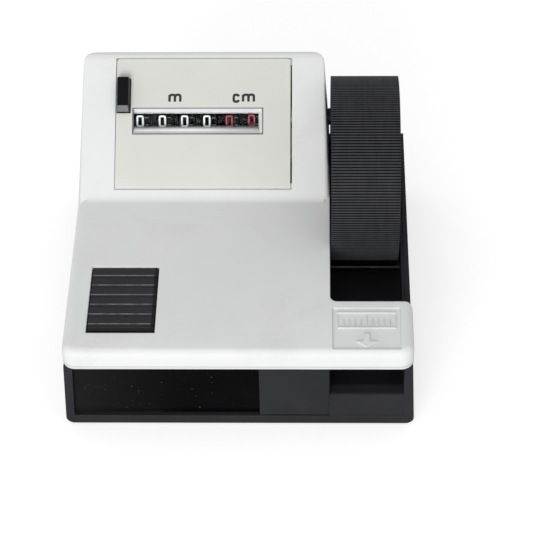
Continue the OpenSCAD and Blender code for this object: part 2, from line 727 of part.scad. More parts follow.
module top_cover() color(white)
    difference() {
        union() {
            difference() {
                union() {
                    deck_body();
                    housing_body();
                    crease_fillet();
                }
                wheel_notch(0);
                difference() {
                    intersection() {
                        xext(-hw, hw)
                            cover_cavity_side();
                        yext(-hc, hc)
                            cover_front(cover_wall);
                        translate([0, 0, rim_z - 2])
                            linear_extrude(top_z)
                                cover_plan(cover_wall);
                    }
                    wheel_notch(cover_wall);
                    lean_notch(cover_wall);
                }
            }
            on_plate()
                translate([plate_x - plate_w / 2 - 1.5, plate_s - 1.5, -plate_t - 1.8])
                    cube([plate_w + 3, plate_l + 3, 1.6]);
            for (p = [boss_list[0], boss_list[1]])
                translate([p[0], p[1], rim_z])
                    cylinder(r = boss_r, h = deck_h - 1, $fn = 32);
            for (p = [boss_list[2], boss_list[3]])
                translate([p[0], p[1], rim_z])
                    cylinder(r = boss_r, $fn = 32,
                        h = deck_h + (p[1] - boss_r - crease_y) * st / ct - cover_wall);
        }
        for (p = boss_list)
            translate([p[0], p[1], rim_z - 1])
                cylinder(r = screw_r, h = 8, $fn = 24);
        on_plate()
            translate([plate_x - plate_w / 2 - plate_gap, plate_s - plate_gap, -plate_t])
                cube([plate_w + plate_gap + plate_side, plate_l + 2 * plate_gap, 6]);
        on_plate()
            translate([plate_x - plate_w / 2 + ledge_w, plate_s + ledge_w, -plate_t - 4])
                cube([plate_w - ledge_w + plate_side, plate_l - 2 * ledge_w, 6]);
        on_face()
            translate([key_x0 - pass_gap, key_s0 - pass_gap, -8])
                cube([key_w + 2 * pass_gap, key_l + 2 * pass_gap, 12]);
        translate([button_x - button_w / 2 - button_gap, button_front - button_front_gap, deck_z - 6])
            cube([button_w + 2 * button_gap, button_l + button_gap + button_front_gap, 10]);
        translate([housing_x + label_x, -hc + label_y, deck_z - label_sink])
            cube([label_w, label_l, 5]);
        xcyl(housing_x - 8, housing_x + 4, sleeve_r + sleeve_gap, axis_y, axis_z, 48);
        block(housing_x - 8, housing_x + 4, axis_y - sleeve_r - sleeve_gap, axis_y + sleeve_r + sleeve_gap,
            rim_z - 2, axis_z);
    }

module label_marks() color(white)
    translate([housing_x + label_x, -hc + label_y, deck_z - label_sink])
        union() {
            translate([label_w / 2, 0.8, 0])
                linear_extrude(label_raise)
                    polygon([[0, 0], [5.2, 4.4], [1.5, 4.4], [1.5, 9.5],
                        [-1.5, 9.5], [-1.5, 4.4], [-5.2, 4.4]]);
            for (i = [0 : label_ticks - 1])
                translate([2.4 + i * (label_w - 4.8) / (label_ticks - 1) - 0.3, 15.5, 0])
                    cube([0.6, i % 5 == 0 ? 6 : 3.6, label_raise]);
            translate([2.1, 13.6, 0])
                cube([label_w - 4.2, 0.9, label_raise]);
            translate([2.1, 23.6, 0])
                cube([label_w - 4.2, 0.9, label_raise]);
        }

module faceplate() color(beige)
    on_plate()
        difference() {
            translate([plate_x - plate_w / 2, plate_s, -plate_t])
                linear_extrude(plate_t)
                    union() {
                        square([plate_w, plate_l - plate_r]);
                        translate([plate_r, 0])
                            square([plate_w - 2 * plate_r, plate_l]);
                        for (x = [plate_r, plate_w - plate_r])
                            translate([x, plate_l - plate_r])
                                circle(r = plate_r, $fn = 32);
                    }
            translate([win_x0 - seam, win_s0 - seam, -plate_t - 1])
                cube([win_x1 - win_x0 + 2 * seam, win_s1 - win_s0 + 2 * seam, 5]);
            translate([key_x0 - pass_gap - 5, key_s0 - pass_gap, -plate_t - 1])
                cube([key_w + 2 * pass_gap + 5, key_l + 2 * pass_gap, 5]);
            translate([plate_x - plate_w / 2 - 1, plate_s + plate_strip, 0])
                rotate([12, 0, 0])
                    translate([0, -plate_strip - 1, 0])
                        cube([plate_w + 2, plate_strip + 1, 3]);
        }

module window_bezel() color(white)
    on_plate()
        difference() {
            union() {
                translate([win_x0, win_s0, -win_depth])
                    cube([win_x1 - win_x0, win_s1 - win_s0, win_depth + 0.1]);
                translate([win_x0 - 0.8, win_s0 - 0.8, -plate_t - 0.55])
                    cube([win_x1 - win_x0 + 1.6, win_s1 - win_s0 + 1.6, 0.55]);
            }
            hull() {
                translate([win_x0 + 0.35, win_s0 + 0.35, 0.2])
                    cube([win_x1 - win_x0 - 0.7, win_s1 - win_s0 - 0.7, 0.01]);
                translate([win_x0 + 0.5, win_s0 + win_low, -win_depth - 0.4])
                    cube([win_x1 - win_x0 - 3, win_s1 - win_s0 - win_low - win_high, 0.01]);
            }
        }

module window_lens() color([0.85, 0.92, 0.95, 0.35])
    on_plate()
        translate([win_x0 + 0.46, win_s0 + win_low - 0.8, -win_depth + 0.35])
            cube([win_x1 - win_x0 - 2.5, win_s1 - win_s0 - win_low - win_high + 1.35, lens_t]);

// Counter

function drum_x(k) = digit_x - (k - 1) * drum_pitch;

// Drum k = 1 is the right-hand one. A toothed ring stands on its right side and a carry disc on its left.
module drum(k) color(black) {
    x0 = drum_x(k) - digit_in;
    x1 = x0 + band_w;
    bore = k == 1 ? shaft_r : shaft_r + run_gap;
    difference() {
        union() {
            xcyl(x0, x1, drum_r, axis_y, axis_z, 80);
            xcyl(x1 - 0.1, x1 + side_t, boss_in_r, axis_y, axis_z, 48);
            if (k < 6)
                xcyl(x0 - side_t, x0 + 0.1, disc_r, axis_y, axis_z, 48);
        }
        xcyl(x0 - 3, x1 + 3, bore, axis_y, axis_z, 40);
        for (a = [-9, 9])
            translate([x0 - 2, axis_y, axis_z])
                rotate([a - 90, 0, 0])
                    translate([0, -0.6, disc_r - 1.2])
                        cube([1.9, 1.2, 3]);
    }
    if (k > 1)
        gear(x1 - 0.1, x1 + side_t, ring_t, carry_m, axis_y, axis_z, -carry_a, boss_in_r - 0.1);
}

module digit_drum_1() drum(1);

module digit_drum_2() drum(2);

module digit_drum_3() drum(3);

module digit_drum_4() drum(4);

module digit_drum_5() drum(5);

module digit_drum_6() drum(6);

// Pinion k turns between drum k and drum k + 1 and meshes with the ring of drum k + 1.
module carry_pinion(k) color(brass) {
    x0 = drum_x(k + 1) - digit_in + band_w;
    gear(x0 + 0.2, x0 + between_w - 0.22, carry_t, carry_m, carry_y, carry_z,
        180 - carry_a + 180 / carry_t, carry_shaft_r + run_gap);
}

module carry_pinion_1() carry_pinion(1);

module carry_pinion_2() carry_pinion(2);

module carry_pinion_3() carry_pinion(3);

module carry_pinion_4() carry_pinion(4);

module carry_pinion_5() carry_pinion(5);

module drive_shaft() color(steel)
    xcyl(frame_x0 - 1, gear_x1 + 0.6, shaft_r, axis_y, axis_z, 40);

module carry_shaft() color(steel)
    xcyl(frame_x0 - 0.4, frame_x1 + frame_t + 0.4, carry_shaft_r, carry_y, carry_z, 32);

module frame_sheet(x)
    xext(x, x + frame_t)
        difference() {
            polygon([[frame_y0, floor_z], [frame_y1, floor_z], [frame_y1, axis_z + 2.7],
                [frame_y1 - 5, axis_z + 7.7],
                [frame_y0 + 5, axis_z + 6.7], [frame_y0, axis_z - 0.3]]);
            translate([axis_y, axis_z])
                circle(r = shaft_r + run_gap, $fn = 40);
            translate([carry_y, carry_z])
                circle(r = carry_shaft_r, $fn = 32);
        }

module counter_frame() color(steel)
    union() {
        frame_sheet(frame_x0);
        frame_sheet(frame_x1);
        difference() {
            block(frame_x0, frame_x1 + frame_t, frame_y0, frame_y0 + 19, floor_z, floor_z + frame_t);
            for (p = frame_screw_list)
                translate([p[0], p[1], floor_z - 1])
                    cylinder(r = screw_r, h = 5, $fn = 24);
        }
        xcyl(frame_x0, frame_x1 + frame_t, 1.5, frame_y0 + 5, axis_z - 18.3, 32);
        on_face()
            translate([stem_x0 - 1, spring_s - 3.9, -spring_tab - frame_t])
                cube([frame_x0 - stem_x0 + 1.1, 8, frame_t]);
    }

module drum_separators() color(black)
    union() {
        for (k = [1 : 6])
            difference() {
                xcyl(drum_x(k) - digit_in + band_w + 0.25, drum_x(k) - digit_in + band_w + between_w - 0.25,
                    drum_r - 0.1, axis_y, axis_z, 80);
                xcyl(drum_x(k) - digit_in + band_w - 1, drum_x(k) - digit_in + band_w + between_w + 1,
                    drum_r - 0.72, axis_y, axis_z, 80);
                on_face()
                    translate([frame_x0, win_s1 + 1.2, -6 * drum_r])
                        cube([frame_x1 - frame_x0, 4 * drum_r, 8 * drum_r]);
                xcyl(frame_x0, frame_x1, carry_tip_r + 2 * pass_gap, carry_y, carry_z, 48);
            }
        block(frame_x0 + frame_t, frame_x1, axis_y - 9.2, axis_y - 7.4,
            axis_z - drum_r - 2.9, axis_z - drum_r - 0.4);
        for (k = [1 : 6])
            block(drum_x(k) - digit_in + band_w + 0.25, drum_x(k) - digit_in + band_w + between_w - 0.25,
                axis_y - 9.2, axis_y - 7.4, axis_z - drum_r - 0.5, axis_z - drum_r + 3.4);
    }

module reset_key() color(black)
    on_face()
        union() {
            difference() {
                translate([key_x0, key_s0, -1.2])
                    cube([key_w, key_l, key_h + 1.2]);
                translate([key_x0 - 1, key_s0, key_h - key_slant])
                    rotate([45, 0, 0])
                        cube([key_w + 2, 8, 8]);
                translate([key_x0 + key_w, key_s0 - 1, 0])
                    rotate([0, -9, 0])
                        cube([4, key_l + 2, 10]);
            }
            translate([stem_x0, key_s0 + 6.5, -stem_l])
                cube([stem_x1 - stem_x0, key_l - 7.2, stem_l]);
        }

module reset_comb() color(steel)
    on_face()
        union() {
            translate([stem_x1, key_s0 + key_l - 3.6, -7])
                cube([frame_x1 - stem_x1, 2.4, 3]);
            for (k = [1 : 6])
                translate([drum_x(k) - digit_in + band_w + 0.6, key_s0 + key_l - 3.6, -8.4])
                    cube([1.8, 2.4, 2]);
        }

module reset_spring() color(steel)
    on_face()
        translate([(stem_x0 + stem_x1) / 2, spring_s, -spring_tab + 0.35])
            coil(1.2, 0.45, spring_pitch, spring_turns);

// Wheel and arm

module wheel_tyre() color(rubber)
    translate([wheel_x0, wheel_y, wheel_z])
        rotate([90, 0, 90])
            linear_extrude(wheel_w)
                difference() {
                    polygon([for (i = [0 : rib_n - 1], k = [0 : 3])
                        polar(k < 2 ? wheel_r : wheel_r - rib_h,
                            360 / rib_n * (i + [-0.22, 0.22, 0.34, 0.66][k]))]);
                    circle(r = tyre_in, $fn = 120);
                }

module wheel_drum() color(grey_dark)
    difference() {
        union() {
            difference() {
                xcyl(wheel_x0 + 0.2, wheel_x1 - 0.2, tyre_in, wheel_y, wheel_z, 120);
                xcyl(wheel_x0 - 1, wheel_x1 + 1, rim_in, wheel_y, wheel_z, 120);
            }
            xcyl(web_x1 - web_t, web_x1, rim_in + 0.1, wheel_y, wheel_z, 120);
            xcyl(gear_x1, hub_x1, hub_boss_r, wheel_y, wheel_z);
            for (a = [0 : 60 : 300])
                translate([web_x1 - web_t - 3, wheel_y, wheel_z])
                    rotate([a, 0, 0])
                        translate([0, -1, hub_boss_r - 1])
                            cube([web_t + 5, 2, rim_in - hub_boss_r + 1.4]);
        }
        xcyl(gear_x0, wheel_x1, axle_r + run_gap, wheel_y, wheel_z, 48);
    }

module hub_gear() color(white)
    gear(gear_x0, gear_x1, hub_t, gear_m, wheel_y, wheel_z, arm_droop, axle_r + run_gap);

module idler_gear() color(white)
    gear(gear_x0, gear_x1, pinion_t, gear_m,
        wheel_y + idler_d * cos(arm_droop), wheel_z + idler_d * sin(arm_droop),
        arm_droop + 180 + 180 / pinion_t, idler_pin_r + run_gap);

module drive_pinion() color(brass)
    gear(gear_x0, gear_x1, pinion_t, gear_m, axis_y, axis_z, arm_droop + 180, shaft_r);

module idler_pin() color(steel)
    xcyl(arm_x0 + 0.5, gear_x1 + 0.5, idler_pin_r,
        wheel_y + idler_d * cos(arm_droop), wheel_z + idler_d * sin(arm_droop), 32);

module swing_arm() color(grey_dark)
    difference() {
        union() {
            xcyl(arm_x0, arm_x1, sleeve_r + 2.1, axis_y, axis_z);
            xcyl(arm_x0, arm_x1, axle_r + 5.5, wheel_y, wheel_z);
            translate([arm_x0, wheel_y, wheel_z])
                rotate([arm_droop, 0, 0])
                    translate([0, 0, -arm_w / 2])
                        cube([arm_t, arm_len, arm_w]);
        }
        xcyl(arm_x0 - 1, arm_x1 + 1, sleeve_r, axis_y, axis_z);
        xcyl(arm_x0 - 1, arm_x1 + 1, axle_r, wheel_y, wheel_z, 48);
        xcyl(arm_x0 + 0.5, arm_x1 + 1, idler_pin_r,
            wheel_y + idler_d * cos(arm_droop), wheel_z + idler_d * sin(arm_droop), 32);
    }

module pivot_sleeve() color(steel)
    difference() {
        xcyl(crank_x0 - 1, arm_x1, sleeve_r, axis_y, axis_z);
        xcyl(crank_x0 - 2, arm_x1 + 1, shaft_r + run_gap, axis_y, axis_z, 40);
    }

module wheel_axle() color(steel)
    xcyl(arm_x0, hub_x1 + 1.6, axle_r, wheel_y, wheel_z, 48);

module axle_clip() color(steel)
    difference() {
        xcyl(hub_x1 + 0.4, hub_x1 + 1.2, axle_r + 2.2, wheel_y, wheel_z, 40);
        xcyl(hub_x1 - 1, hub_x1 + 3, axle_r, wheel_y, wheel_z, 48);
        block(hub_x1 - 1, hub_x1 + 3, wheel_y - 1.6, wheel_y + 1.6, wheel_z - 8, wheel_z - axle_r + 0.4);
    }

module lift_crank() color(steel)
    difference() {
        union() {
            xcyl(crank_x0, crank_x1, sleeve_r + 2.7, axis_y, axis_z);
            xcyl(crank_x0, crank_x1, crank_rivet_r + 2.6, crank_y, crank_z, 48);
            translate([crank_x0, axis_y, axis_z])
                rotate([crank_droop, 0, 0])
                    translate([0, -crank_len, -3.6])
                        cube([crank_x1 - crank_x0, crank_len, 7.2]);
        }
        xcyl(crank_x0 - 1, crank_x1 + 1, sleeve_r, axis_y, axis_z);
        xcyl(crank_x0 - 1, crank_x1 + 1, crank_rivet_r, crank_y, crank_z, 32);
    }

module crank_pin() color(steel)
    union() {
        xcyl(pad_x0 - 0.5, crank_x0, crank_pin_r, crank_y, crank_z, 40);
        xcyl(crank_x0 - 0.1, crank_x1 + 0.3, crank_rivet_r, crank_y, crank_z, 32);
    }

module bearing_bracket() color(steel)
    difference() {
        union() {
            xext(bracket_x0, bracket_x1)
                polygon([[axis_y - 12, floor_z], [axis_y + 12, floor_z], [axis_y + 10, axis_z + 4],
                    [axis_y + 5, axis_z + 10], [axis_y - 5, axis_z + 10], [axis_y - 10, axis_z + 4]]);
            block(bracket_x0 - 8, bracket_x1, axis_y - 12, axis_y + 12, floor_z, floor_z + 3);
        }
        xcyl(bracket_x0 - 1, bracket_x1 + 1, sleeve_r + 2.2, axis_y, axis_z);
        for (p = bracket_screw_list)
            translate([p[0], p[1], floor_z - 1])
                cylinder(r = screw_r, h = 6, $fn = 24);
    }

module bearing_bush() color(brass)
    difference() {
        union() {
            xcyl(bracket_x0, bracket_x1, sleeve_r + 2.2, axis_y, axis_z);
            xcyl(bracket_x1, bracket_x1 + 1, sleeve_r + 3.7, axis_y, axis_z);
        }
        xcyl(bracket_x0 - 1, bracket_x1 + 2, sleeve_r + run_gap, axis_y, axis_z);
    }

module arm_spring() color(steel)
    translate([crank_x1 + 0.9, axis_y, axis_z])
        rotate([0, 90, 0])
            coil(sleeve_r + 1.1, 0.9, (spring_room - 1.5) / 4.5, 4.5);

module bracket_screws() color(steel)
    for (p = bracket_screw_list)
        translate([p[0], p[1], 0])
            union() {
                translate([0, 0, floor_z - 1])
                    cylinder(r = screw_r, h = 4.1, $fn = 24);
                translate([0, 0, floor_z + 3])
                    cylinder(r = 2 * screw_r - 0.2, h = 1.8, $fn = 32);
            }

module frame_screws() color(steel)
    for (p = frame_screw_list)
        translate([p[0], p[1], 0])
            union() {
                translate([0, 0, floor_z - 1])
                    cylinder(r = screw_r, h = frame_t + 1.1, $fn = 24);
                translate([0, 0, floor_z + frame_t])
                    cylinder(r = 2 * screw_r - 0.2, h = 1.8, $fn = 32);
            }

// Lift

module lift_rocker() color(grey_dark)
    difference() {
        union() {
            xcyl(rocker_x0, rocker_x1, rocker_r, rocker_y, rocker_z, 48);
            xext(button_x - 4, button_x + 4)
                polygon([[rocker_y, rocker_z - 4], [rocker_y, rocker_z + 4],
                    [button_y - 12, button_top - button_h],
                    [button_y - 30, button_top - button_h], [button_y - 30, button_top - button_h - 3],
                    [button_y - 14, button_top - button_h - 6]]);
            xext(pad_x0 + 0.5, pad_x1 - 0.5)
                polygon([[rocker_y, rocker_z + 4], [rocker_y, rocker_z - 4], [crank_y + 9, pad_z - 4],
                    [crank_y + 9, pad_z], [crank_y - 6, pad_z], [crank_y - 12, pad_z - 5]]);
        }
        xcyl(rocker_x0 - 1, rocker_x1 + 1, rocker_pin_r + run_gap, rocker_y, rocker_z, 40);
    }

module rocker_pin() color(steel)
    xcyl(rocker_post_x0 - 0.5, rocker_post_x1 + rocker_post_t, rocker_pin_r, rocker_y, rocker_z, 40);

module lift_button() color(black)
    union() {
        block(button_x - button_w / 2, button_x + button_w / 2, button_front, button_y,
            button_top - button_h, button_top);
        for (i = [0 : button_ribs - 1])
            translate([button_x - button_w / 2, button_y - 6.1 - i * (button_l - 10.1) / (button_ribs - 1),
                button_top - 0.1])
                cube([button_w, button_rib_w, button_rib_h + 0.1]);
    }

base_tray();
front_panel();
front_block();
cable_channel();
support_roller();
roller_axle();
front_guide_bar();
rear_guide_bar();
rubber_feet();
base_screws();
top_cover();
label_marks();
faceplate();
window_bezel();
window_lens();
digit_drum_1();
digit_drum_2();
digit_drum_3();
digit_drum_4();
digit_drum_5();
digit_drum_6();
carry_pinion_1();
carry_pinion_2();
carry_pinion_3();
carry_pinion_4();
carry_pinion_5();
drive_shaft();
carry_shaft();
counter_frame();
drum_separators();
reset_key();
reset_comb();
reset_spring();
wheel_tyre();
wheel_drum();
hub_gear();
idler_gear();
drive_pinion();
idler_pin();
swing_arm();
pivot_sleeve();
wheel_axle();
axle_clip();
lift_crank();
crank_pin();
bearing_bracket();
bearing_bush();
arm_spring();
bracket_screws();
frame_screws();
lift_rocker();
rocker_pin();
lift_button();
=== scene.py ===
# %% [markdown]
# # Dressing a cable length counter
# The counter measures cable that is pulled under a ribbed wheel. Its solids come from the packed
# model, which is the frame of this scene: every part already sits in its place and rides on its
# body. This lesson adds what the solids lack, which is light, a camera, finishes, and the printed
# figures and marks.
#
# We load the frame first. Blender works in metres, and MM turns the millimetres of a drawing into
# them.

import math

import bmesh
import bpy
from mathutils import Matrix, Vector


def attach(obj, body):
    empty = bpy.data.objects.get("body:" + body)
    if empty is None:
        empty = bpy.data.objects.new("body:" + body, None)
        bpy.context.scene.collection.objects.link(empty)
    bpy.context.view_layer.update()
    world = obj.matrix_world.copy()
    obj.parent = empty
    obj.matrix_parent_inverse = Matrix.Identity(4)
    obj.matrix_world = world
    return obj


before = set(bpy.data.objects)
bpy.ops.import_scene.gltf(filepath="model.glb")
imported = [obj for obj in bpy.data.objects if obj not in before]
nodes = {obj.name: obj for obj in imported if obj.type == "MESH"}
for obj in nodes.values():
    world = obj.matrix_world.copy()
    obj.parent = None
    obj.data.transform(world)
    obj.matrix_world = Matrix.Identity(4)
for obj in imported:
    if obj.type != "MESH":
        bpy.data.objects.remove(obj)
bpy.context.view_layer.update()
MM = 0.001


# %% [markdown]
# ## The camera
# The picture was taken from the front and well above, with a long lens, so lines that run away
# from us hardly close up. A camera can be aimed with a Track To constraint, but here its three
# axes are worked out from the viewing angles and put into its matrix, because the picture also
# leans a little to one side.

# %% Camera
picture_wide, focal_pixels, sensor_mm, camera_far = 533.0, 2156.11, 36.0, 1.09593
tilt_down, yaw, roll = math.radians(44.421), math.radians(-1.885), math.radians(-1.307)
aim = Vector((11.885, 0.5, 24.501)) * MM
forward = Vector((math.sin(yaw) * math.cos(tilt_down), math.cos(yaw) * math.cos(tilt_down),
    -math.sin(tilt_down)))
level = Vector((math.cos(yaw), -math.sin(yaw), 0.0))
above = level.cross(forward)
across = level * math.cos(roll) + above * math.sin(roll)
upward = above * math.cos(roll) - level * math.sin(roll)

camera_data = bpy.data.cameras.new("camera")
camera_data.sensor_fit = "HORIZONTAL"
camera_data.sensor_width = sensor_mm
camera_data.lens = sensor_mm * focal_pixels / picture_wide
camera_data.clip_start = 0.05
camera = bpy.data.objects.new("camera", camera_data)
bpy.context.collection.objects.link(camera)
turned = Matrix((across, upward, -forward)).transposed().to_4x4()
camera.matrix_world = Matrix.Translation(aim - forward * camera_far) @ turned
bpy.context.scene.camera = camera
print("lens in mm:", round(camera_data.lens, 1))

# %% [markdown]
# ## Helpers for nodes
# Light and finishes are both made of nodes, and a socket of a node takes either a link or a plain
# value. Each could be set in a line of its own, but then the plan is lost among the lines. So one
# helper feeds a socket with whatever it is given, and three more add a node, do a sum, and spread
# a value over a new range with a Map Range node.

# %% Node helpers
def feed(tree, socket, value):
    if isinstance(value, bpy.types.NodeSocket):
        tree.links.new(value, socket)
    else:
        socket.default_value = value


def feed_by_name(tree, node, values):
    for label, value in values.items():
        feed(tree, node.inputs[label.replace("_", " ")], value)


def add_node(tree, kind, **values):
    node = tree.nodes.new("ShaderNode" + kind)
    feed_by_name(tree, node, values)
    return node


def calculate(tree, operation, *values, kind="Math", result="Value"):
    node = add_node(tree, kind)
    node.operation = operation
    for socket, value in zip(node.inputs, values):
        feed(tree, socket, value)
    return node.outputs[result]


def spread_value(tree, value, low, high, from_low=0.3, from_high=0.7):
    node = add_node(tree, "MapRange", Value=value, From_Min=from_low, From_Max=from_high,
        To_Min=low, To_Max=high)
    return node.outputs["Result"]


print("node helpers:", [helper.__name__ for helper in (feed, add_node, calculate, spread_value)])

# %% [markdown]
# ## World, lamp and floor
# The studio is plain: one large soft lamp and an even white surround, which does most of the
# work. The levels are chosen so that a colour renders about as it is written. The surround could
# be made white with more light, but that would bleach the cover. So its strength depends on the
# kind of ray: it is white to the camera and in mirroring or clear surfaces, and gives less light
# to matt ones.

# %% World
sky_light, sky_seen = 0.62, 1.0
bpy.context.scene.view_settings.view_transform = "Standard"


def seen_directly(tree):
    ray = add_node(tree, "LightPath").outputs
    mirrored = calculate(tree, "MAXIMUM", ray["Is Glossy Ray"], ray["Is Transmission Ray"])
    return calculate(tree, "MAXIMUM", ray["Is Camera Ray"], mirrored)


world = bpy.data.worlds.new("studio")
bpy.context.scene.world = world
world.use_nodes = True
sky = world.node_tree
surround = sky.nodes["Background"].inputs
surround["Color"].default_value = (1.0, 1.0, 1.0, 1.0)
strength = spread_value(sky, seen_directly(sky), sky_light, sky_seen, 0.0, 1.0)
feed(sky, surround["Strength"], strength)
print("surround from", sky_light, "as light to", sky_seen, "as seen")

# %% [markdown]
# The sloping face and the rounded lip look brighter than the flat deck, so the lamp stands low, in
# front and a little to the left. It is a wide disk, because a small lamp would draw hard shadows.

# %% Lamp
lamp_turn, lamp_rise, lamp_far = math.radians(-12.0), math.radians(17.0), 2.6
lamp_data = bpy.data.lights.new("soft_front_lamp", "AREA")
lamp_data.shape = "DISK"
lamp_data.size = 1.5
lamp_data.energy = 41.0
lamp = bpy.data.objects.new("soft_front_lamp", lamp_data)
bpy.context.collection.objects.link(lamp)
lamp_from = Vector((math.sin(lamp_turn) * math.cos(lamp_rise),
    -math.cos(lamp_turn) * math.cos(lamp_rise), math.sin(lamp_rise)))
lamp.location = aim + lamp_from * lamp_far
lamp.rotation_euler = lamp_from.to_track_quat("Z", "Y").to_euler()
print("lamp at:", [round(c, 2) for c in lamp.location])

# %% [markdown]
# The floor is matt paper. White paper would throw too much light up at the lip, so its colour is
# a pale grey, and a glow that lights nothing matt makes up what it lacks to the eye. A shadow
# still shows, because it darkens the paper under the glow.

# %% Floor
floor_grey, floor_glow = 0.62, 0.60
floor_mesh = bpy.data.meshes.new("floor")
sheet = bmesh.new()
bmesh.ops.create_grid(sheet, x_segments=1, y_segments=1, size=3.0)
sheet.to_mesh(floor_mesh)
sheet.free()
floor = bpy.data.objects.new("floor", floor_mesh)
bpy.context.collection.objects.link(floor)
floor_finish = bpy.data.materials.new("floor_paper")
floor_finish.use_nodes = True
paper = floor_finish.node_tree
paper_shader = paper.nodes["Principled BSDF"].inputs
paper_shader["Base Color"].default_value = (floor_grey, floor_grey, floor_grey, 1.0)
paper_shader["Roughness"].default_value = 0.9
paper_shader["Specular IOR Level"].default_value = 0.1
paper_shader["Emission Color"].default_value = (1.0, 1.0, 1.0, 1.0)
glow = spread_value(paper, seen_directly(paper), 0.0, floor_glow, 0.0, 1.0)
feed(paper, paper_shader["Emission Strength"], glow)
floor_mesh.materials.append(floor_finish)
print("floor finish:", floor_finish.name)

# %% [markdown]
# ## Effects that several finishes share
# Moulded plastic, printed ink and worked metal differ in their numbers but not in their kind of
# detail. Each such effect is built once as a node group with named sockets and placed in every
# finish that needs it. A group hands out only values and normals, and the shader itself stays in
# the material.

# %% A helper for node groups
def effect_group(name, inputs, outputs):
    group = bpy.data.node_groups.new(name, "ShaderNodeTree")
    for label, kind, value in inputs:
        socket = group.interface.new_socket(name=label, in_out="INPUT", socket_type=kind)
        if value is not None:
            socket.default_value = value
    for label, kind in outputs:
        group.interface.new_socket(name=label, in_out="OUTPUT", socket_type=kind)
    given = group.nodes.new("NodeGroupInput").outputs
    handed = group.nodes.new("NodeGroupOutput").inputs
    print("group:", name, "hands out", ", ".join(label for label, kind in outputs))
    return group, given, handed


number, vector = "NodeSocketFloat", "NodeSocketVector"
print("group helper:", effect_group.__name__)

# %% [markdown]
# The grain of a moulded part has two scales: a fine spark erosion texture, felt more than seen,
# and broad soft patches where the surface took up the mould a little differently. A Noise texture
# gives both.

# %% Moulded grain
grain_group, given, handed = effect_group("moulded_grain",
    [("Vector", vector, None), ("Grain Scale", number, 2500.0), ("Patch Scale", number, 30.0)],
    [("Grain", number), ("Patch", number)])
fine = add_node(grain_group, "TexNoise", Vector=given["Vector"], Scale=given["Grain Scale"],
    Detail=3.0)
broad = add_node(grain_group, "TexNoise", Vector=given["Vector"], Scale=given["Patch Scale"],
    Detail=4.0, Roughness=0.55)
feed(grain_group, handed["Grain"], fine.outputs["Fac"])
feed(grain_group, handed["Patch"], broad.outputs["Fac"])

# %% [markdown]
# An edge that hands and cases rub goes pale and smooth. The Bevel node looks at the surface within
# a small radius and gives a rounded normal there. Where that normal departs from the true one,
# there is an edge. The group hands out both: the mask for wear, and the rounded normal, which
# makes a sharp solid catch the light as a moulding does.

# %% Rubbed edges
edge_group, given, handed = effect_group("rubbed_edge",
    [("Width", number, 0.0005)],
    [("Mask", number), ("Normal", vector)])
rounded = add_node(edge_group, "Bevel", Radius=given["Width"])
rounded.samples = 6
surface = add_node(edge_group, "NewGeometry")
agree = calculate(edge_group, "DOT_PRODUCT", rounded.outputs["Normal"], surface.outputs["Normal"],
    kind="VectorMath")
feed(edge_group, handed["Mask"], spread_value(edge_group, agree, 0.0, 1.0, 0.985, 0.80))
feed(edge_group, handed["Normal"], rounded.outputs["Normal"])

# %% [markdown]
# Dust shows on dark gloss as scattered pale points of uneven size. A Voronoi texture scatters the
# points, the random colour of each cell leaves many of them out, and a Noise texture decides where
# they lie thick.

# %% Dust specks
dust_group, given, handed = effect_group("dust_specks",
    [("Vector", vector, None), ("Scale", number, 900.0), ("Size", number, 0.12)],
    [("Mask", number)])
points = add_node(dust_group, "TexVoronoi", Vector=given["Vector"], Scale=given["Scale"])
drifts = add_node(dust_group, "TexNoise", Vector=given["Vector"], Scale=130.0, Detail=3.0)
chance = add_node(dust_group, "SeparateColor", Color=points.outputs["Color"])
rare = spread_value(dust_group, chance.outputs["Red"], 0.0, 1.0, 0.55, 1.0)
reach = calculate(dust_group, "MULTIPLY", rare, given["Size"])
near = calculate(dust_group, "LESS_THAN", points.outputs["Distance"], reach)
thick = spread_value(dust_group, drifts.outputs["Fac"], 0.0, 1.0, 0.44, 0.66)
feed(dust_group, handed["Mask"], calculate(dust_group, "MULTIPLY", near, thick))

# %% [markdown]
# Hands leave faint grey smudges on white plastic. A Noise texture that is bent by itself gives
# their cloudy outline, and only its highest parts are kept, so that most of the surface stays
# clean. A finer one breaks them up.

# %% Hand smudges
smudge_group, given, handed = effect_group("hand_smudges",
    [("Vector", vector, None), ("Scale", number, 20.0), ("Amount", number, 0.5)],
    [("Mask", number)])
clouds = add_node(smudge_group, "TexNoise", Vector=given["Vector"], Scale=given["Scale"],
    Detail=5.0, Roughness=0.6, Distortion=0.7)
flecks = add_node(smudge_group, "TexNoise", Vector=given["Vector"], Scale=420.0, Detail=3.0)
highest = spread_value(smudge_group, clouds.outputs["Fac"], 0.0, 1.0, 0.52, 0.74)
broken_up = calculate(smudge_group, "MULTIPLY", highest, flecks.outputs["Fac"])
faint = calculate(smudge_group, "MULTIPLY", broken_up, given["Amount"])
feed(smudge_group, handed["Mask"], faint)

# %% [markdown]
# Drawn or ground metal carries fine lines along the way it was worked. A Noise texture that is
# stretched hard in one direction gives them, and the stretch is a vector input, so a bar and a
# plate can have theirs turned.

# %% Drawn lines
drawn_group, given, handed = effect_group("drawn_lines",
    [("Vector", vector, None), ("Stretch", vector, (60.0, 2500.0, 2500.0))],
    [("Line", number), ("Cloud", number)])
pulled = calculate(drawn_group, "MULTIPLY", given["Vector"], given["Stretch"], kind="VectorMath",
    result="Vector")
lines = add_node(drawn_group, "TexNoise", Vector=pulled, Scale=1.0, Detail=4.0)
cloud = add_node(drawn_group, "TexNoise", Vector=given["Vector"], Scale=90.0, Detail=3.0)
feed(drawn_group, handed["Line"], lines.outputs["Fac"])
feed(drawn_group, handed["Cloud"], cloud.outputs["Fac"])

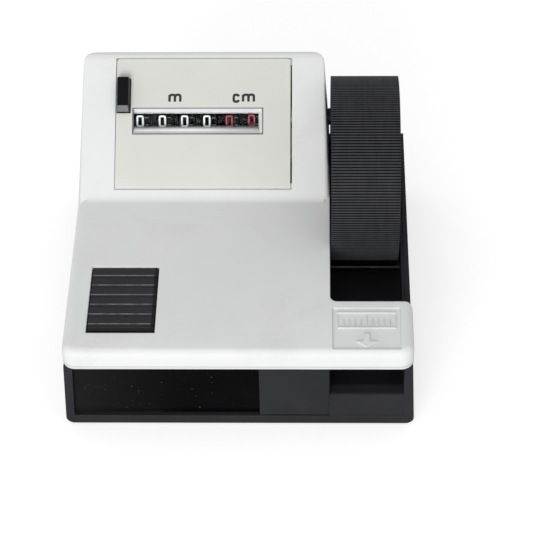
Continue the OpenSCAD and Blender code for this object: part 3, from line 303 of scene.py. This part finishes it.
# %% [markdown]
# ## Finishes
# A finish starts with an empty material and the Object coordinates that its patterns are laid out
# in. These are metres in the frame of the solids, so a grain has the same size on every piece.
# Small helpers start a finish, place a group in it, mix two colours by a mask, and add a bump. A
# Mix node has sockets of one name for numbers, vectors and colours, so its colour sockets are
# found by their place.

# %% Helpers for finishes
finishes = {}
mix_first, mix_second, mix_result = 6, 7, 2
bump_strength = 0.35


def start_finish(name):
    finishes[name] = bpy.data.materials.new(name)
    finishes[name].use_nodes = True
    tree = finishes[name].node_tree
    return tree, tree.nodes["Principled BSDF"].inputs, add_node(tree, "TexCoord").outputs["Object"]


def put_group(tree, group, **values):
    node = add_node(tree, "Group")
    node.node_tree = group
    feed_by_name(tree, node, values)
    return node.outputs


def blend_colours(tree, mask, first, second):
    mix = add_node(tree, "Mix")
    mix.data_type = "RGBA"
    feed(tree, mix.inputs["Factor"], mask)
    for place, colour in ((mix_first, first), (mix_second, second)):
        feed(tree, mix.inputs[place], (*colour, 1.0) if isinstance(colour, tuple) else colour)
    return mix.outputs[mix_result]


def add_bump(tree, shader, height, depth, normal):
    bump = add_node(tree, "Bump", Strength=bump_strength, Distance=depth * MM, Height=height,
        Normal=normal)
    feed(tree, shader["Normal"], bump.outputs["Normal"])


finish_helpers = (start_finish, put_group, blend_colours, add_bump)
print("finish helpers:", [helper.__name__ for helper in finish_helpers])

# %% [markdown]
# ### Moulded plastics and rubber
# Nearly everything outside is moulded: the white cover, the dark tray, the keys. One recipe makes
# them all, with tones, roughness, grain and shine of its own for each. The patches shift the tone,
# the grain makes the roughness and the bump uneven, and rubbed edges go paler. The depth of the
# grain and the width of a rubbed edge are in millimetres.

# %% The moulded recipe
def moulded(name, deep, pale, rubbed, rough, grain, patch, depth, edge, shine=0.5):
    tree, shader, where = start_finish(name)
    texture = put_group(tree, grain_group, Vector=where, Grain_Scale=grain, Patch_Scale=patch)
    worn = put_group(tree, edge_group, Width=edge * MM)
    tone = blend_colours(tree, spread_value(tree, texture["Patch"], 0.0, 1.0), deep, pale)
    tone = blend_colours(tree, worn["Mask"], tone, rubbed)
    feed(tree, shader["Base Color"], tone)
    feed(tree, shader["Roughness"], spread_value(tree, texture["Grain"], *rough))
    feed(tree, shader["Specular IOR Level"], shine)
    add_bump(tree, shader, texture["Grain"], depth, worn["Normal"])
    print("finish:", name)
    return tree, shader, where, tone


print("recipe:", moulded.__name__)

# %% [markdown]
# The cover needs two things more: smudges from hands, and a thin grey line of painted shade. It
# runs round the lower rim at one height, where the rounded lower edge of the lip turns down and
# away from the light. A groove in the solid could show it, but paint is enough for so fine a line:
# the distance of the Object Z coordinate from that height finds it.

# %% White cover
rim_shade_height, rim_shade_half, rim_shade_strength = 42.5 * MM, 0.75 * MM, 0.75
tree, shader, where, tone = moulded("cover_white", (0.785, 0.798, 0.793), (0.81, 0.821, 0.815),
    (0.82, 0.828, 0.82), (0.42, 0.52), grain=1800.0, patch=22.0, depth=0.05, edge=0.9, shine=0.12)
handled = put_group(tree, smudge_group, Vector=where, Scale=24.0, Amount=0.4)
tone = blend_colours(tree, handled["Mask"], tone, (0.52, 0.525, 0.51))
axes = add_node(tree, "SeparateXYZ", Vector=where).outputs
# painted shade: a grey band round the lower rim, where the rounded edge turns away from the light
off_line = calculate(tree, "ABSOLUTE", calculate(tree, "SUBTRACT", axes["Z"], rim_shade_height))
painted_rim_shade = spread_value(tree, off_line, rim_shade_strength, 0.0, 0.0, rim_shade_half)
feed(tree, shader["Base Color"], blend_colours(tree, painted_rim_shade, tone, (0.50, 0.505, 0.50)))
print("parting line at", round(rim_shade_height / MM, 1), "mm")

# %% [markdown]
# The other plain mouldings need nothing but the recipe. Shine is the strength of the mirror image:
# it is low on the dark parts, which look dull in the picture, and lowest on the drums, so that
# they stay black behind the lens.

# %% Plain plastics, rubber and paint
moulded("tray_grey", (0.0198, 0.0203, 0.0242), (0.0264, 0.0270, 0.0319), (0.065, 0.066, 0.072),
    (0.5, 0.66), grain=2200.0, patch=40.0, depth=0.12, edge=0.5, shine=0.08)
moulded("plate_beige", (0.67, 0.677, 0.635), (0.695, 0.702, 0.66), (0.76, 0.762, 0.73),
    (0.4, 0.5), grain=3000.0, patch=35.0, depth=0.03, edge=0.3, shine=0.4)
moulded("bezel_silver", (0.74, 0.745, 0.75), (0.80, 0.805, 0.81), (0.86, 0.86, 0.86),
    (0.3, 0.4), grain=3500.0, patch=60.0, depth=0.02, edge=0.3)
moulded("drum_black", (0.005, 0.005, 0.006), (0.010, 0.010, 0.012), (0.03, 0.03, 0.032),
    (0.36, 0.5), grain=3000.0, patch=90.0, depth=0.04, edge=0.2, shine=0.06)
moulded("separator_gloss", (0.005, 0.005, 0.006), (0.009, 0.009, 0.010), (0.03, 0.03, 0.032),
    (0.2, 0.3), grain=2500.0, patch=90.0, depth=0.02, edge=0.2, shine=0.06)
moulded("gear_white", (0.70, 0.69, 0.63), (0.76, 0.75, 0.70), (0.82, 0.81, 0.77),
    (0.35, 0.48), grain=2500.0, patch=70.0, depth=0.04, edge=0.3)
moulded("wheel_grey", (0.018, 0.0185, 0.021), (0.026, 0.0265, 0.030), (0.07, 0.07, 0.075),
    (0.45, 0.6), grain=2400.0, patch=60.0, depth=0.08, edge=0.4, shine=0.25)
moulded("foot_rubber", (0.012, 0.012, 0.012), (0.024, 0.023, 0.022), (0.05, 0.05, 0.05),
    (0.7, 0.85), grain=1600.0, patch=120.0, depth=0.12, edge=0.4, shine=0.3)
print("finishes so far:", len(finishes))

# %% [markdown]
# The lift button is black plastic. The tops of its six ribs are painted grey: partly wear where
# fingers have polished them, partly a painted highlight along each rib. The tops all lie at one
# height, so a narrow band of the Object Z coordinate finds them, and a Noise texture breaks the
# grey up along each rib. A dark gap shows at the right and the front of the button. The solids
# leave only a narrow one there, so the Object X and Y coordinates paint the button's border on
# these two sides nearly black. This painted shade widens the gap to the eye.

# %% Lift button
rib_top, rib_band = 52.1 * MM, 0.12 * MM
tree, shader, where, tone = moulded("key_black", (0.017, 0.017, 0.021), (0.023, 0.023, 0.028),
    (0.05, 0.05, 0.055), (0.4, 0.52), grain=2400.0, patch=55.0, depth=0.08, edge=0.4, shine=0.18)
axes = add_node(tree, "SeparateXYZ", Vector=where).outputs
at_top = calculate(tree, "COMPARE", axes["Z"], rib_top, rib_band)
patchy = put_group(tree, grain_group, Vector=where, Grain_Scale=900.0, Patch_Scale=210.0)
shine_left = spread_value(tree, patchy["Patch"], 0.35, 1.0, 0.34, 0.58)
# rib tops painted grey: partly wear, partly a painted highlight
worn_and_highlit = calculate(tree, "MULTIPLY", at_top, shine_left)
tone = blend_colours(tree, worn_and_highlit, tone, (0.17, 0.17, 0.18))
# painted shade: the right and front border of the button's top nearly black, standing for the dark
# gap
at_right = spread_value(tree, axes["X"], 0.0, 1.0, -42.0 * MM, -41.7 * MM)
at_front = spread_value(tree, axes["Y"], 1.0, 0.0, -69.3 * MM, -69.0 * MM)
painted_gap_shade = calculate(tree, "MAXIMUM", at_right, at_front)
feed(tree, shader["Base Color"], blend_colours(tree, painted_gap_shade, tone, (0.0015, 0.0015, 0.002)))
print("polished rib tops at", round(rib_top / MM, 1), "mm")

# %% [markdown]
# The reset key is smaller, deeper black and more polished. Its slanted end, which faces the lamp,
# is painted grey: a painted highlight for the light that falls on that face. The end lies in one
# plane, so a dot product of the position with a vector that stands square on the plane tells it
# from the rest.

# %% Reset key
end_square = (0.0, 1.39273, -0.24557)
lit_end_full, lit_end_gone = 59.85 * MM, 60.05 * MM
tree, shader, where, tone = moulded("key_polished", (0.004, 0.004, 0.005), (0.007, 0.007, 0.009),
    (0.045, 0.045, 0.049), (0.24, 0.36), grain=2600.0, patch=80.0, depth=0.04, edge=0.4, shine=0.07)
# painted highlight: the slanted end is painted grey for the light that falls on it
from_end = calculate(tree, "DOT_PRODUCT", where, end_square, kind="VectorMath")
painted_lit_end = spread_value(tree, from_end, 1.0, 0.0, lit_end_full, lit_end_gone)
feed(tree, shader["Base Color"], blend_colours(tree, painted_lit_end, tone, (0.20, 0.20, 0.205)))
print("worn end of the reset key along", end_square)

# %% [markdown]
# The wheel's tyre is dark rubber. The crests of its ribs are painted grey in streaks, partly wear
# where cable rubs them, partly a painted highlight along each crest, and the grooves stay black.
# The distance from the wheel's axis tells crest from groove, and it turns with the wheel because
# Object coordinates do.

# %% Tyre rubber
wheel_axis = (0.0, 31.99113 * MM, 63.24 * MM)
groove_ends, crest_starts = 46.2 * MM, 46.42 * MM
tree, shader, where, tone = moulded("tyre_rubber", (0.003, 0.003, 0.0035), (0.006, 0.006, 0.007),
    (0.015, 0.015, 0.017), (0.5, 0.66), grain=1500.0, patch=45.0, depth=0.10, edge=0.15, shine=0.12)
from_axis = calculate(tree, "SUBTRACT", where, wheel_axis, kind="VectorMath", result="Vector")
flat = calculate(tree, "MULTIPLY", from_axis, (0.0, 1.0, 1.0), kind="VectorMath", result="Vector")
distance = calculate(tree, "LENGTH", flat, kind="VectorMath")
# crests painted grey: partly wear, partly a painted highlight
crest = spread_value(tree, distance, 0.0, 1.0, groove_ends, crest_starts)
streaks = put_group(tree, drawn_group, Vector=where, Stretch=(500.0, 90.0, 90.0))
rubbed = calculate(tree, "MULTIPLY", crest, spread_value(tree, streaks["Line"], 0.7, 1.0))
feed(tree, shader["Base Color"], blend_colours(tree, rubbed, tone, (0.053, 0.055, 0.064)))
print("crests from", round(crest_starts / MM, 2), "mm off the axis")

# %% [markdown]
# The panel at the front is polished black acrylic. It stays nearly black from where we stand,
# because it mirrors little, and dust and a few hair scratches are what show its surface. A film of
# fine dust lies thickest at its left end, so the tone also follows the Object X coordinate.

# %% Gloss panel
film_thick, film_gone, film_falls = -76.0 * MM, -8.0 * MM, 2.0
tree, shader, where, tone = moulded("panel_gloss", (0.0016, 0.0016, 0.002),
    (0.0035, 0.0035, 0.004), (0.02, 0.02, 0.022), (0.10, 0.2), grain=700.0, patch=25.0, depth=0.01,
    edge=0.3, shine=0.016)
axes = add_node(tree, "SeparateXYZ", Vector=where).outputs
leftward = spread_value(tree, axes["X"], 1.0, 0.0, film_thick, film_gone)
film = calculate(tree, "POWER", leftward, film_falls)
tone = blend_colours(tree, film, tone, (0.012, 0.012, 0.013))
specks = put_group(tree, dust_group, Vector=where, Scale=620.0, Size=0.26)
scratches = put_group(tree, drawn_group, Vector=where, Stretch=(35.0, 900.0, 700.0))
hairs = spread_value(tree, scratches["Line"], 0.0, 0.22, 0.66, 0.78)
marked = calculate(tree, "MAXIMUM", specks["Mask"], hairs)
feed(tree, shader["Base Color"], blend_colours(tree, marked, tone, (0.06, 0.06, 0.064)))
print("dust film from", round(film_thick / MM), "to", round(film_gone / MM), "mm")

# %% [markdown]
# ### Metals
# Bars, shafts, sheet parts, screws, springs and brass gears are metal. The recipe takes a dull and
# a bright tone, a roughness that the lines make uneven, and the way the lines run.

# %% The metal recipe
metal_depth, metal_edge = 0.02, 0.3


def worked_metal(name, dull, bright, rough, stretch):
    tree, shader, where = start_finish(name)
    worked = put_group(tree, drawn_group, Vector=where, Stretch=stretch)
    worn = put_group(tree, edge_group, Width=metal_edge * MM)
    tone = blend_colours(tree, spread_value(tree, worked["Cloud"], 0.0, 1.0), dull, bright)
    feed(tree, shader["Base Color"], blend_colours(tree, worn["Mask"], tone, bright))
    feed(tree, shader["Roughness"], spread_value(tree, worked["Line"], *rough))
    feed(tree, shader["Metallic"], 1.0)
    add_bump(tree, shader, worked["Line"], metal_depth, worn["Normal"])
    print("metal:", name)


worked_metal("steel_bright", (0.50, 0.51, 0.52), (0.66, 0.67, 0.68), (0.14, 0.28),
    (60.0, 1800.0, 1800.0))
worked_metal("bar_burnished", (0.016, 0.016, 0.017), (0.028, 0.028, 0.030), (0.24, 0.36),
    (60.0, 1800.0, 1800.0))
worked_metal("steel_sheet", (0.38, 0.39, 0.40), (0.50, 0.51, 0.52), (0.28, 0.44),
    (500.0, 60.0, 900.0))
worked_metal("screw_steel", (0.36, 0.36, 0.37), (0.52, 0.52, 0.53), (0.22, 0.38),
    (700.0, 700.0, 120.0))
worked_metal("spring_steel", (0.30, 0.30, 0.31), (0.44, 0.44, 0.45), (0.24, 0.36),
    (400.0, 400.0, 400.0))
worked_metal("brass", (0.50, 0.35, 0.14), (0.68, 0.50, 0.23), (0.24, 0.38),
    (300.0, 900.0, 900.0))

# %% [markdown]
# The window's lens is clear plastic. It is glass to the shader, with a trace of haze in its
# roughness. A plastic's true index would lay a pale mirror image over the drums, so a lower one is
# set, and they stay black behind it.

# %% Clear lens
lens_index = 1.08
tree, shader, where = start_finish("lens_clear")
haze = put_group(tree, grain_group, Vector=where, Grain_Scale=700.0, Patch_Scale=80.0)
feed(tree, shader["Roughness"], spread_value(tree, haze["Patch"], 0.01, 0.035))
feed(tree, shader["Base Color"], (0.97, 0.98, 0.98, 1.0))
feed(tree, shader["Transmission Weight"], 1.0)
feed(tree, shader["IOR"], lens_index)
print("lens index:", lens_index)

# %% [markdown]
# A solid comes with a plain material that is named for its slot in the record, and the finish of
# that name takes its place. The reset key shares a slot with the lift button but not its finish.

# %% Put the finishes on the solids
for name, part in nodes.items():
    for place in part.material_slots:
        label = place.material.name.split(".")[0]
        place.material = finishes["key_polished" if name == "reset_key" else label]
print("solids with a finish:", sum(1 for part in nodes.values() if part.material_slots[0].material))

# %% [markdown]
# ## Softer edges on the solids
# A solid arrives as loose triangles with hard edges, and the cover's rounded edges are made of
# narrow flats. A small geometry node group joins the triangles and shades every gentle edge
# smooth. The solids' own meshes stay untouched.

# %% Join and shade
same_point, sharp_from = 0.005 * MM, math.radians(28.0)
joined = bpy.data.node_groups.new("join_and_shade", "GeometryNodeTree")
for way in ("INPUT", "OUTPUT"):
    joined.interface.new_socket(name="Geometry", in_out=way, socket_type="NodeSocketGeometry")
steps = [joined.nodes.new(kind) for kind in ("NodeGroupInput", "GeometryNodeMergeByDistance",
    "GeometryNodeRemoveAttribute", "GeometryNodeSetShadeSmooth", "GeometryNodeSetShadeSmooth",
    "NodeGroupOutput")]
for first, second in zip(steps, steps[1:]):
    joined.links.new(first.outputs[0], second.inputs[0])
merge, forget, smooth, sharpen = steps[1:-1]
merge.inputs["Distance"].default_value = same_point
forget.inputs["Name"].default_value = "custom_normal"
smooth.domain = "FACE"
sharpen.domain = "EDGE"
sharpen.inputs["Shade Smooth"].default_value = False
fold = joined.nodes.new("GeometryNodeInputMeshEdgeAngle")
steep = joined.nodes.new("FunctionNodeCompare")
steep.inputs["B"].default_value = sharp_from
joined.links.new(fold.outputs["Unsigned Angle"], steep.inputs["A"])
joined.links.new(steep.outputs["Result"], sharpen.inputs["Selection"])
print("steps of join and shade:", len(steps))

# %% [markdown]
# On the parts that we see close by, a Bevel modifier then breaks the sharp edges that remain, as a
# mould does. The cover has its rounds in the solid already and is only joined and shaded.

# %% Broken edges
def join_triangles(name):
    modifier = nodes[name].modifiers.new("join_and_shade", "NODES")
    modifier.node_group = joined


def break_edges(name, width):
    join_triangles(name)
    bevel = nodes[name].modifiers.new("broken_edges", "BEVEL")
    bevel.width = width * MM
    bevel.segments = 3
    bevel.limit_method = "ANGLE"
    bevel.angle_limit = math.radians(40.0)
    bevel.harden_normals = True


broken = {"lift_button": 0.35, "faceplate": 0.22, "reset_key": 0.4, "label_marks": 0.15,
    "front_block": 0.4}
join_triangles("top_cover")
for name, width in broken.items():
    break_edges(name, width)
print("joined and shaded:", 1 + len(broken))

# %% [markdown]
# ## Printed figures
# Six drums carry the figures 0 to 9 in an even stroke with round corners, the whole metres in white
# and the tenths and hundredths in red. A text object would bring a type face with thick and thin
# strokes. So each figure is drawn as a curve along its middle line. A curve of order three rounds
# each corner by itself, and a point that is given twice keeps a corner sharp.

# %% Middle lines of the figures
def loop(x, low, high):
    middle, straight = (low + high) / 2, 0.3 * (high - low) / 2
    return True, [(x, middle + straight), (x, high), (0, high), (-x, high), (-x, middle + straight),
        (-x, middle - straight), (-x, low), (0, low), (x, low), (x, middle - straight)]


six = [(0.85, 0.95), (-0.3, 1.0), (-1, 0.5), (-1, 0.0), (-1, -0.4), (-1, -1), (0, -1), (1, -1),
    (1, -0.4), (1, 0.2), (0, 0.2), (-1, 0.2), (-1, -0.3)]
figure_lines = {
    0: [loop(1.0, -1.0, 1.0)],
    1: [(False, [(-0.5, 0.55), (0.15, 1), (0.15, 1), (0.15, -1)])],
    2: [(False, [(-1, 0.4), (-1, 1), (0, 1), (1, 1), (1, 0.4), (0.9, 0.0), (-1, -1), (-1, -1),
        (1, -1)])],
    3: [(False, [(-0.95, 1), (0.9, 1), (0.9, 1), (0, 0.2), (0, 0.2), (1, 0.25), (1, -0.4), (1, -1),
        (0, -1), (-1, -1), (-1, -0.5)])],
    4: [(False, [(0.4, -1), (0.4, 1)]), (False, [(0.3, 1), (-1, -0.4), (-1, -0.4), (1, -0.4)])],
    5: [(False, [(0.9, 1), (-0.85, 1), (-0.85, 1), (-0.95, 0.1), (-0.95, 0.1), (0, 0.35), (1, 0.35),
        (1, -0.35), (1, -1), (0, -1), (-1, -1), (-1, -0.55)])],
    6: [(False, six)],
    7: [(False, [(-1, 1), (1, 1), (1, 1), (-0.2, -1)])],
    8: [loop(0.88, 0.08, 1.0), loop(1.0, -1.0, 0.08)],
    9: [(False, [(-x, -y) for x, y in six])],
}
print("figures drawn:", len(figure_lines))

# %% [markdown]
# A round bevel on the curve gives the stroke its width, and the curve is then made a mesh. It is
# pressed flat later, when it is put in its place.

# %% From a middle line to a stroke
def stroke_mesh(name, lines, half_wide, half_high, stroke):
    curve = bpy.data.curves.new(name, "CURVE")
    curve.dimensions = "3D"
    curve.bevel_depth = stroke / 2
    curve.bevel_resolution = 2
    curve.resolution_u = 5
    curve.use_fill_caps = True
    for closed, line in lines:
        spline = curve.splines.new("NURBS")
        spline.points.add(len(line) - 1)
        spline.order_u = 3 if len(line) > 2 else 2
        spline.use_cyclic_u = closed
        spline.use_endpoint_u = not closed
        for point, (x, y) in zip(spline.points, line):
            point.co = (x * half_wide, y * half_high, 0.0, 1.0)
    drawn = bpy.data.objects.new(name, curve)
    mesh = bpy.data.meshes.new_from_object(drawn)
    bpy.data.objects.remove(drawn)
    bpy.data.curves.remove(curve)
    return mesh


figure_half_wide, figure_half_high, figure_stroke = 1.42 * MM, 2.66 * MM, 1.04 * MM
figures = {n: stroke_mesh("figure_%d" % n, line, figure_half_wide, figure_half_high, figure_stroke)
    for n, line in figure_lines.items()}
print("faces of a nought:", len(figures[0].polygons))

# %% [markdown]
# Ink is thin and a little uneven, so its finish has a fine mottle and a slightly rough face. Five
# tones are needed: white and red for the figures, grey for the lines at the drums' edges, a darker
# grey for the painted shade of the gap round the window, and black for the marks on the plate.

# %% Inks
for name, deep, pale, rubbed, rough, patch in (
        ("figure_white", (0.90, 0.91, 0.92), (0.95, 0.96, 0.97), (0.95, 0.96, 0.97),
            (0.4, 0.55), 400.0),
        ("figure_red", (0.30, 0.024, 0.034), (0.37, 0.036, 0.048), (0.37, 0.036, 0.048),
            (0.4, 0.55), 400.0),
        ("line_grey", (0.20, 0.20, 0.21), (0.32, 0.32, 0.33), (0.32, 0.32, 0.33),
            (0.4, 0.55), 300.0),
        ("gap_shade_grey", (0.14, 0.14, 0.145), (0.22, 0.22, 0.225), (0.22, 0.22, 0.225),
            (0.5, 0.65), 250.0),
        ("mark_black", (0.008, 0.008, 0.009), (0.016, 0.016, 0.017), (0.02, 0.02, 0.02),
            (0.45, 0.6), 300.0)):
    moulded(name, deep, pale, rubbed, rough, grain=4000.0, patch=patch, depth=0.01, edge=0.1)

# %% [markdown]
# Every printed piece is finished in the same way. Its normals are turned outwards, it gets its ink,
# and it rides on the body that carries it. Its object stays at the origin, with its place in the
# mesh, so that the patterns don't slide.

# %% A helper for pieces
def add_piece(name, mesh_maker, ink, body):
    mesh = bpy.data.meshes.new(name)
    bmesh.ops.recalc_face_normals(mesh_maker, faces=mesh_maker.faces[:])
    mesh_maker.to_mesh(mesh)
    mesh_maker.free()
    mesh.materials.append(finishes[ink])
    for face in mesh.polygons:
        face.use_smooth = True
    piece = bpy.data.objects.new(name, mesh)
    bpy.context.collection.objects.link(piece)
    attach(piece, body)
    print("piece:", name, "on", body)


pressed_flat = 0.06
print("a printed stroke keeps", pressed_flat, "of its height")

# %% [markdown]
# A figure is wrapped on its drum: its height becomes an angle about the counter's axis and its
# thickness a tiny step outwards. The front of a drum moves down as it counts, so the next figure
# waits above the one that shows.

# %% Wrap figures on a drum
axis_y, axis_z, drum_r = 67.50865 * MM, 67.3 * MM, 12.0 * MM
figure_turn, figure_left = math.radians(36.0), 0.25 * MM


def wrapped_figures(middle, start):
    print_layer = bmesh.new()
    for n in range(10):
        before = len(print_layer.verts)
        print_layer.from_mesh(figures[n])
        print_layer.verts.ensure_lookup_table()
        for point in print_layer.verts[before:]:
            turn = start + n * figure_turn + point.co.y / drum_r
            out = drum_r + point.co.z * pressed_flat
            point.co = (middle - figure_left + point.co.x, axis_y - out * math.cos(turn),
                axis_z + out * math.sin(turn))
    return print_layer


print("drum radius in mm:", round(drum_r / MM, 1))

# %% [markdown]
# Short grey lines stand at the right edge of each drum, two beside each figure. One thin bar is
# made next to the first figure, and the spin operator repeats it round the axis.

# %% Lines at a drum's edge
line_count, line_lead, line_right = 20, math.radians(9.0), 3.3 * MM
line_size = (1.95 * MM, 0.05 * MM, 0.42 * MM, 1.0)


def lines_round_edge(middle, start):
    edge_lines = bmesh.new()
    stand = (Matrix.Translation((middle + line_right, axis_y, axis_z))
        @ Matrix.Rotation(-(start + line_lead), 4, "X"))
    bmesh.ops.create_cube(edge_lines, size=1.0,
        matrix=stand @ Matrix.Translation((0, -drum_r, 0)) @ Matrix.Diagonal(line_size))
    bmesh.ops.spin(edge_lines,
        geom=edge_lines.verts[:] + edge_lines.edges[:] + edge_lines.faces[:],
        cent=(0, axis_y, axis_z), axis=(1, 0, 0), dvec=(0, 0, 0),
        angle=2 * math.pi * (line_count - 1) / line_count, steps=line_count - 1,
        use_duplicate=True)
    return edge_lines


print("lines on a drum:", line_count)

# %% [markdown]
# The drums stand side by side from right to left. The first turns with the shaft and stands a touch
# higher, as a counter between two numbers does. The first two are printed in red.

# %% Print the six drums
first_middle, drum_pitch = 4.35, 11.42
first_start, other_start = math.radians(31.0), math.radians(28.7)
for drum in range(1, 7):
    middle = (first_middle - drum_pitch * (drum - 1)) * MM
    start = first_start if drum == 1 else other_start
    body = "counter_shaft" if drum == 1 else "drum_%d" % drum
    ink = "figure_red" if drum < 3 else "figure_white"
    add_piece("drum_figures_%d" % drum, wrapped_figures(middle, start), ink, body)
    add_piece("drum_lines_%d" % drum, lines_round_edge(middle, start), "line_grey", body)

# %% [markdown]
# ## Unit marks on the faceplate
# Metres and centimetres are marked above the window in the same round stroke. The marks are drawn
# flat and then moved with one matrix that stands for the sloping face and the plate's slight tip on
# it.

# %% The sloping frame
slope_foot = (0, 20.308 * MM, 52.0 * MM)
face_slope, plate_tip, plate_middle = math.radians(35.0), math.radians(-1.2), 40.25 * MM
on_plate = (Matrix.Translation(slope_foot) @ Matrix.Rotation(face_slope, 4, "X")
    @ Matrix.Translation((0, plate_middle, 0)) @ Matrix.Rotation(plate_tip, 4, "X")
    @ Matrix.Translation((0, -plate_middle, 0)))


def box_on_plate(maker, middle, size):
    bmesh.ops.create_cube(maker, size=1.0,
        matrix=on_plate @ Matrix.Translation(Vector(middle) * MM)
        @ Matrix.Diagonal((*(side * MM for side in size), 1.0)))


print("slope of the plate:", round(math.degrees(face_slope + plate_tip), 1))

# %% [markdown]
# An m is one upright and the same arch twice, and a c is an open loop. Their lines are drawn as the
# figures' are, and pressed flat in the sloping frame.

# %% Unit marks
arch = [(0, 0.1), (0.05, 0.95), (0.5, 1.05), (0.97, 0.98), (1, 0.2), (1, -1)]
letter_m = [(False, [(-1, 1), (-1, -1)]), (False, [(x - 1, y) for x, y in arch]), (False, arch)]
letter_c = [(False, [(1, 0.5), (0.75, 1), (0, 1), (-0.75, 1), (-1, 0.5), (-1, -0.5), (-0.75, -1),
    (0, -1), (0.75, -1), (1, -0.5)])]
m_half_wide, c_half_wide, mark_half_high, mark_stroke, mark_up = 2.75, 1.28, 1.8, 1.3, 53.41
for name, letters in (
        ("metre_mark", [(letter_m, -35.06, m_half_wide)]),
        ("centimetre_mark", [(letter_c, -3.72, c_half_wide), (letter_m, 2.54, m_half_wide)])):
    mark = bmesh.new()
    for lines, x, half_wide in letters:
        before = len(mark.verts)
        mark.from_mesh(stroke_mesh(name, lines, half_wide * MM, mark_half_high * MM,
            mark_stroke * MM))
        mark.verts.ensure_lookup_table()
        place = (on_plate @ Matrix.Translation((x * MM, mark_up * MM, 0))
            @ Matrix.Diagonal((1, 1, pressed_flat, 1)))
        bmesh.ops.transform(mark, matrix=place, verts=mark.verts[before:])
    add_piece(name, mark, "mark_black", "base")

# %% [markdown]
# ## The window's rim and its lens
# The thin gap between the window's frame and the plate is a painted shade: a narrow grey line round
# the frame, which sets the frame off from the plate. A mask in the frame's finish could do it, but
# four thin strips in the sloping frame keep a clean edge.

# %% Painted shade round the window
left, right, low, high, wide = -56.6, 10.0, 34.4, 48.3, 0.44
paint_up, paint_thick = 0.11, 0.04
middle_x, middle_up = (left + right) / 2, (low + high) / 2
across_long, side_tall = right - left, high - low - 2 * wide
strips = (
    (middle_x, high - wide / 2, across_long, wide),
    (middle_x, low + wide / 2, across_long, wide),
    (left + wide / 2, middle_up, wide, side_tall),
    (right - wide / 2, middle_up, wide, side_tall))
# painted shade: grey strips for the shadowed gap round the window's frame
seam = bmesh.new()
for x, up, long, tall in strips:
    box_on_plate(seam, (x, up, paint_up), (long, tall, paint_thick))
add_piece("window_gap_shade", seam, "gap_shade_grey", "base")

# %% [markdown]
# Along its lower edge the lens shows a painted reflection: a thin pale layer on the lens stands for
# the white lower flank of the frame seen in the lens, and its Alpha fades out up the slope. A dot
# product of the position with the direction of the slope measures how far up a point lies, and a
# power makes the fading quick at first.

# %% Finish of the painted reflection
reflection_low, reflection_high, reflection_full = 36.2, 39.8, 0.7
reflection_face, reflection_fades = -1.03, 2.5
tree, shader, where = moulded("lens_painted_reflection", (0.84, 0.845, 0.86), (0.90, 0.90, 0.91),
    (0.90, 0.90, 0.91), (0.5, 0.7), grain=3000.0, patch=200.0, depth=0.01, edge=0.1, shine=0.2)[:3]
up_slope = Vector((0, math.cos(face_slope + plate_tip), math.sin(face_slope + plate_tip)))
full_at, gone_at = (up_slope.dot(on_plate @ Vector((0, up * MM, reflection_face * MM)))
    for up in (reflection_low + reflection_full, reflection_high))
up_by = calculate(tree, "DOT_PRODUCT", where, up_slope, kind="VectorMath")
# painted reflection: a pale layer that fades up the slope, standing for the white frame flank seen
# in the lens
painted_reflection_fade = spread_value(tree, up_by, 1.0, 0.0, full_at, gone_at)
feed(tree, shader["Alpha"], calculate(tree, "POWER", painted_reflection_fade, reflection_fades))
print("frost from", reflection_low, "to", reflection_high, "mm up the slope")

# %% [markdown]
# The layer itself is a thin box in the sloping frame, as wide as the lens shows.

# %% Painted reflection on the lens
reflection_x, reflection_wide, reflection_up, reflection_thick = -24.1, 63.6, -1.02, 0.04
layer = bmesh.new()
box_on_plate(layer, (reflection_x, (reflection_low + reflection_high) / 2, reflection_up),
    (reflection_wide, reflection_high - reflection_low, reflection_thick))
add_piece("lens_painted_reflection", layer, "lens_painted_reflection", "base")
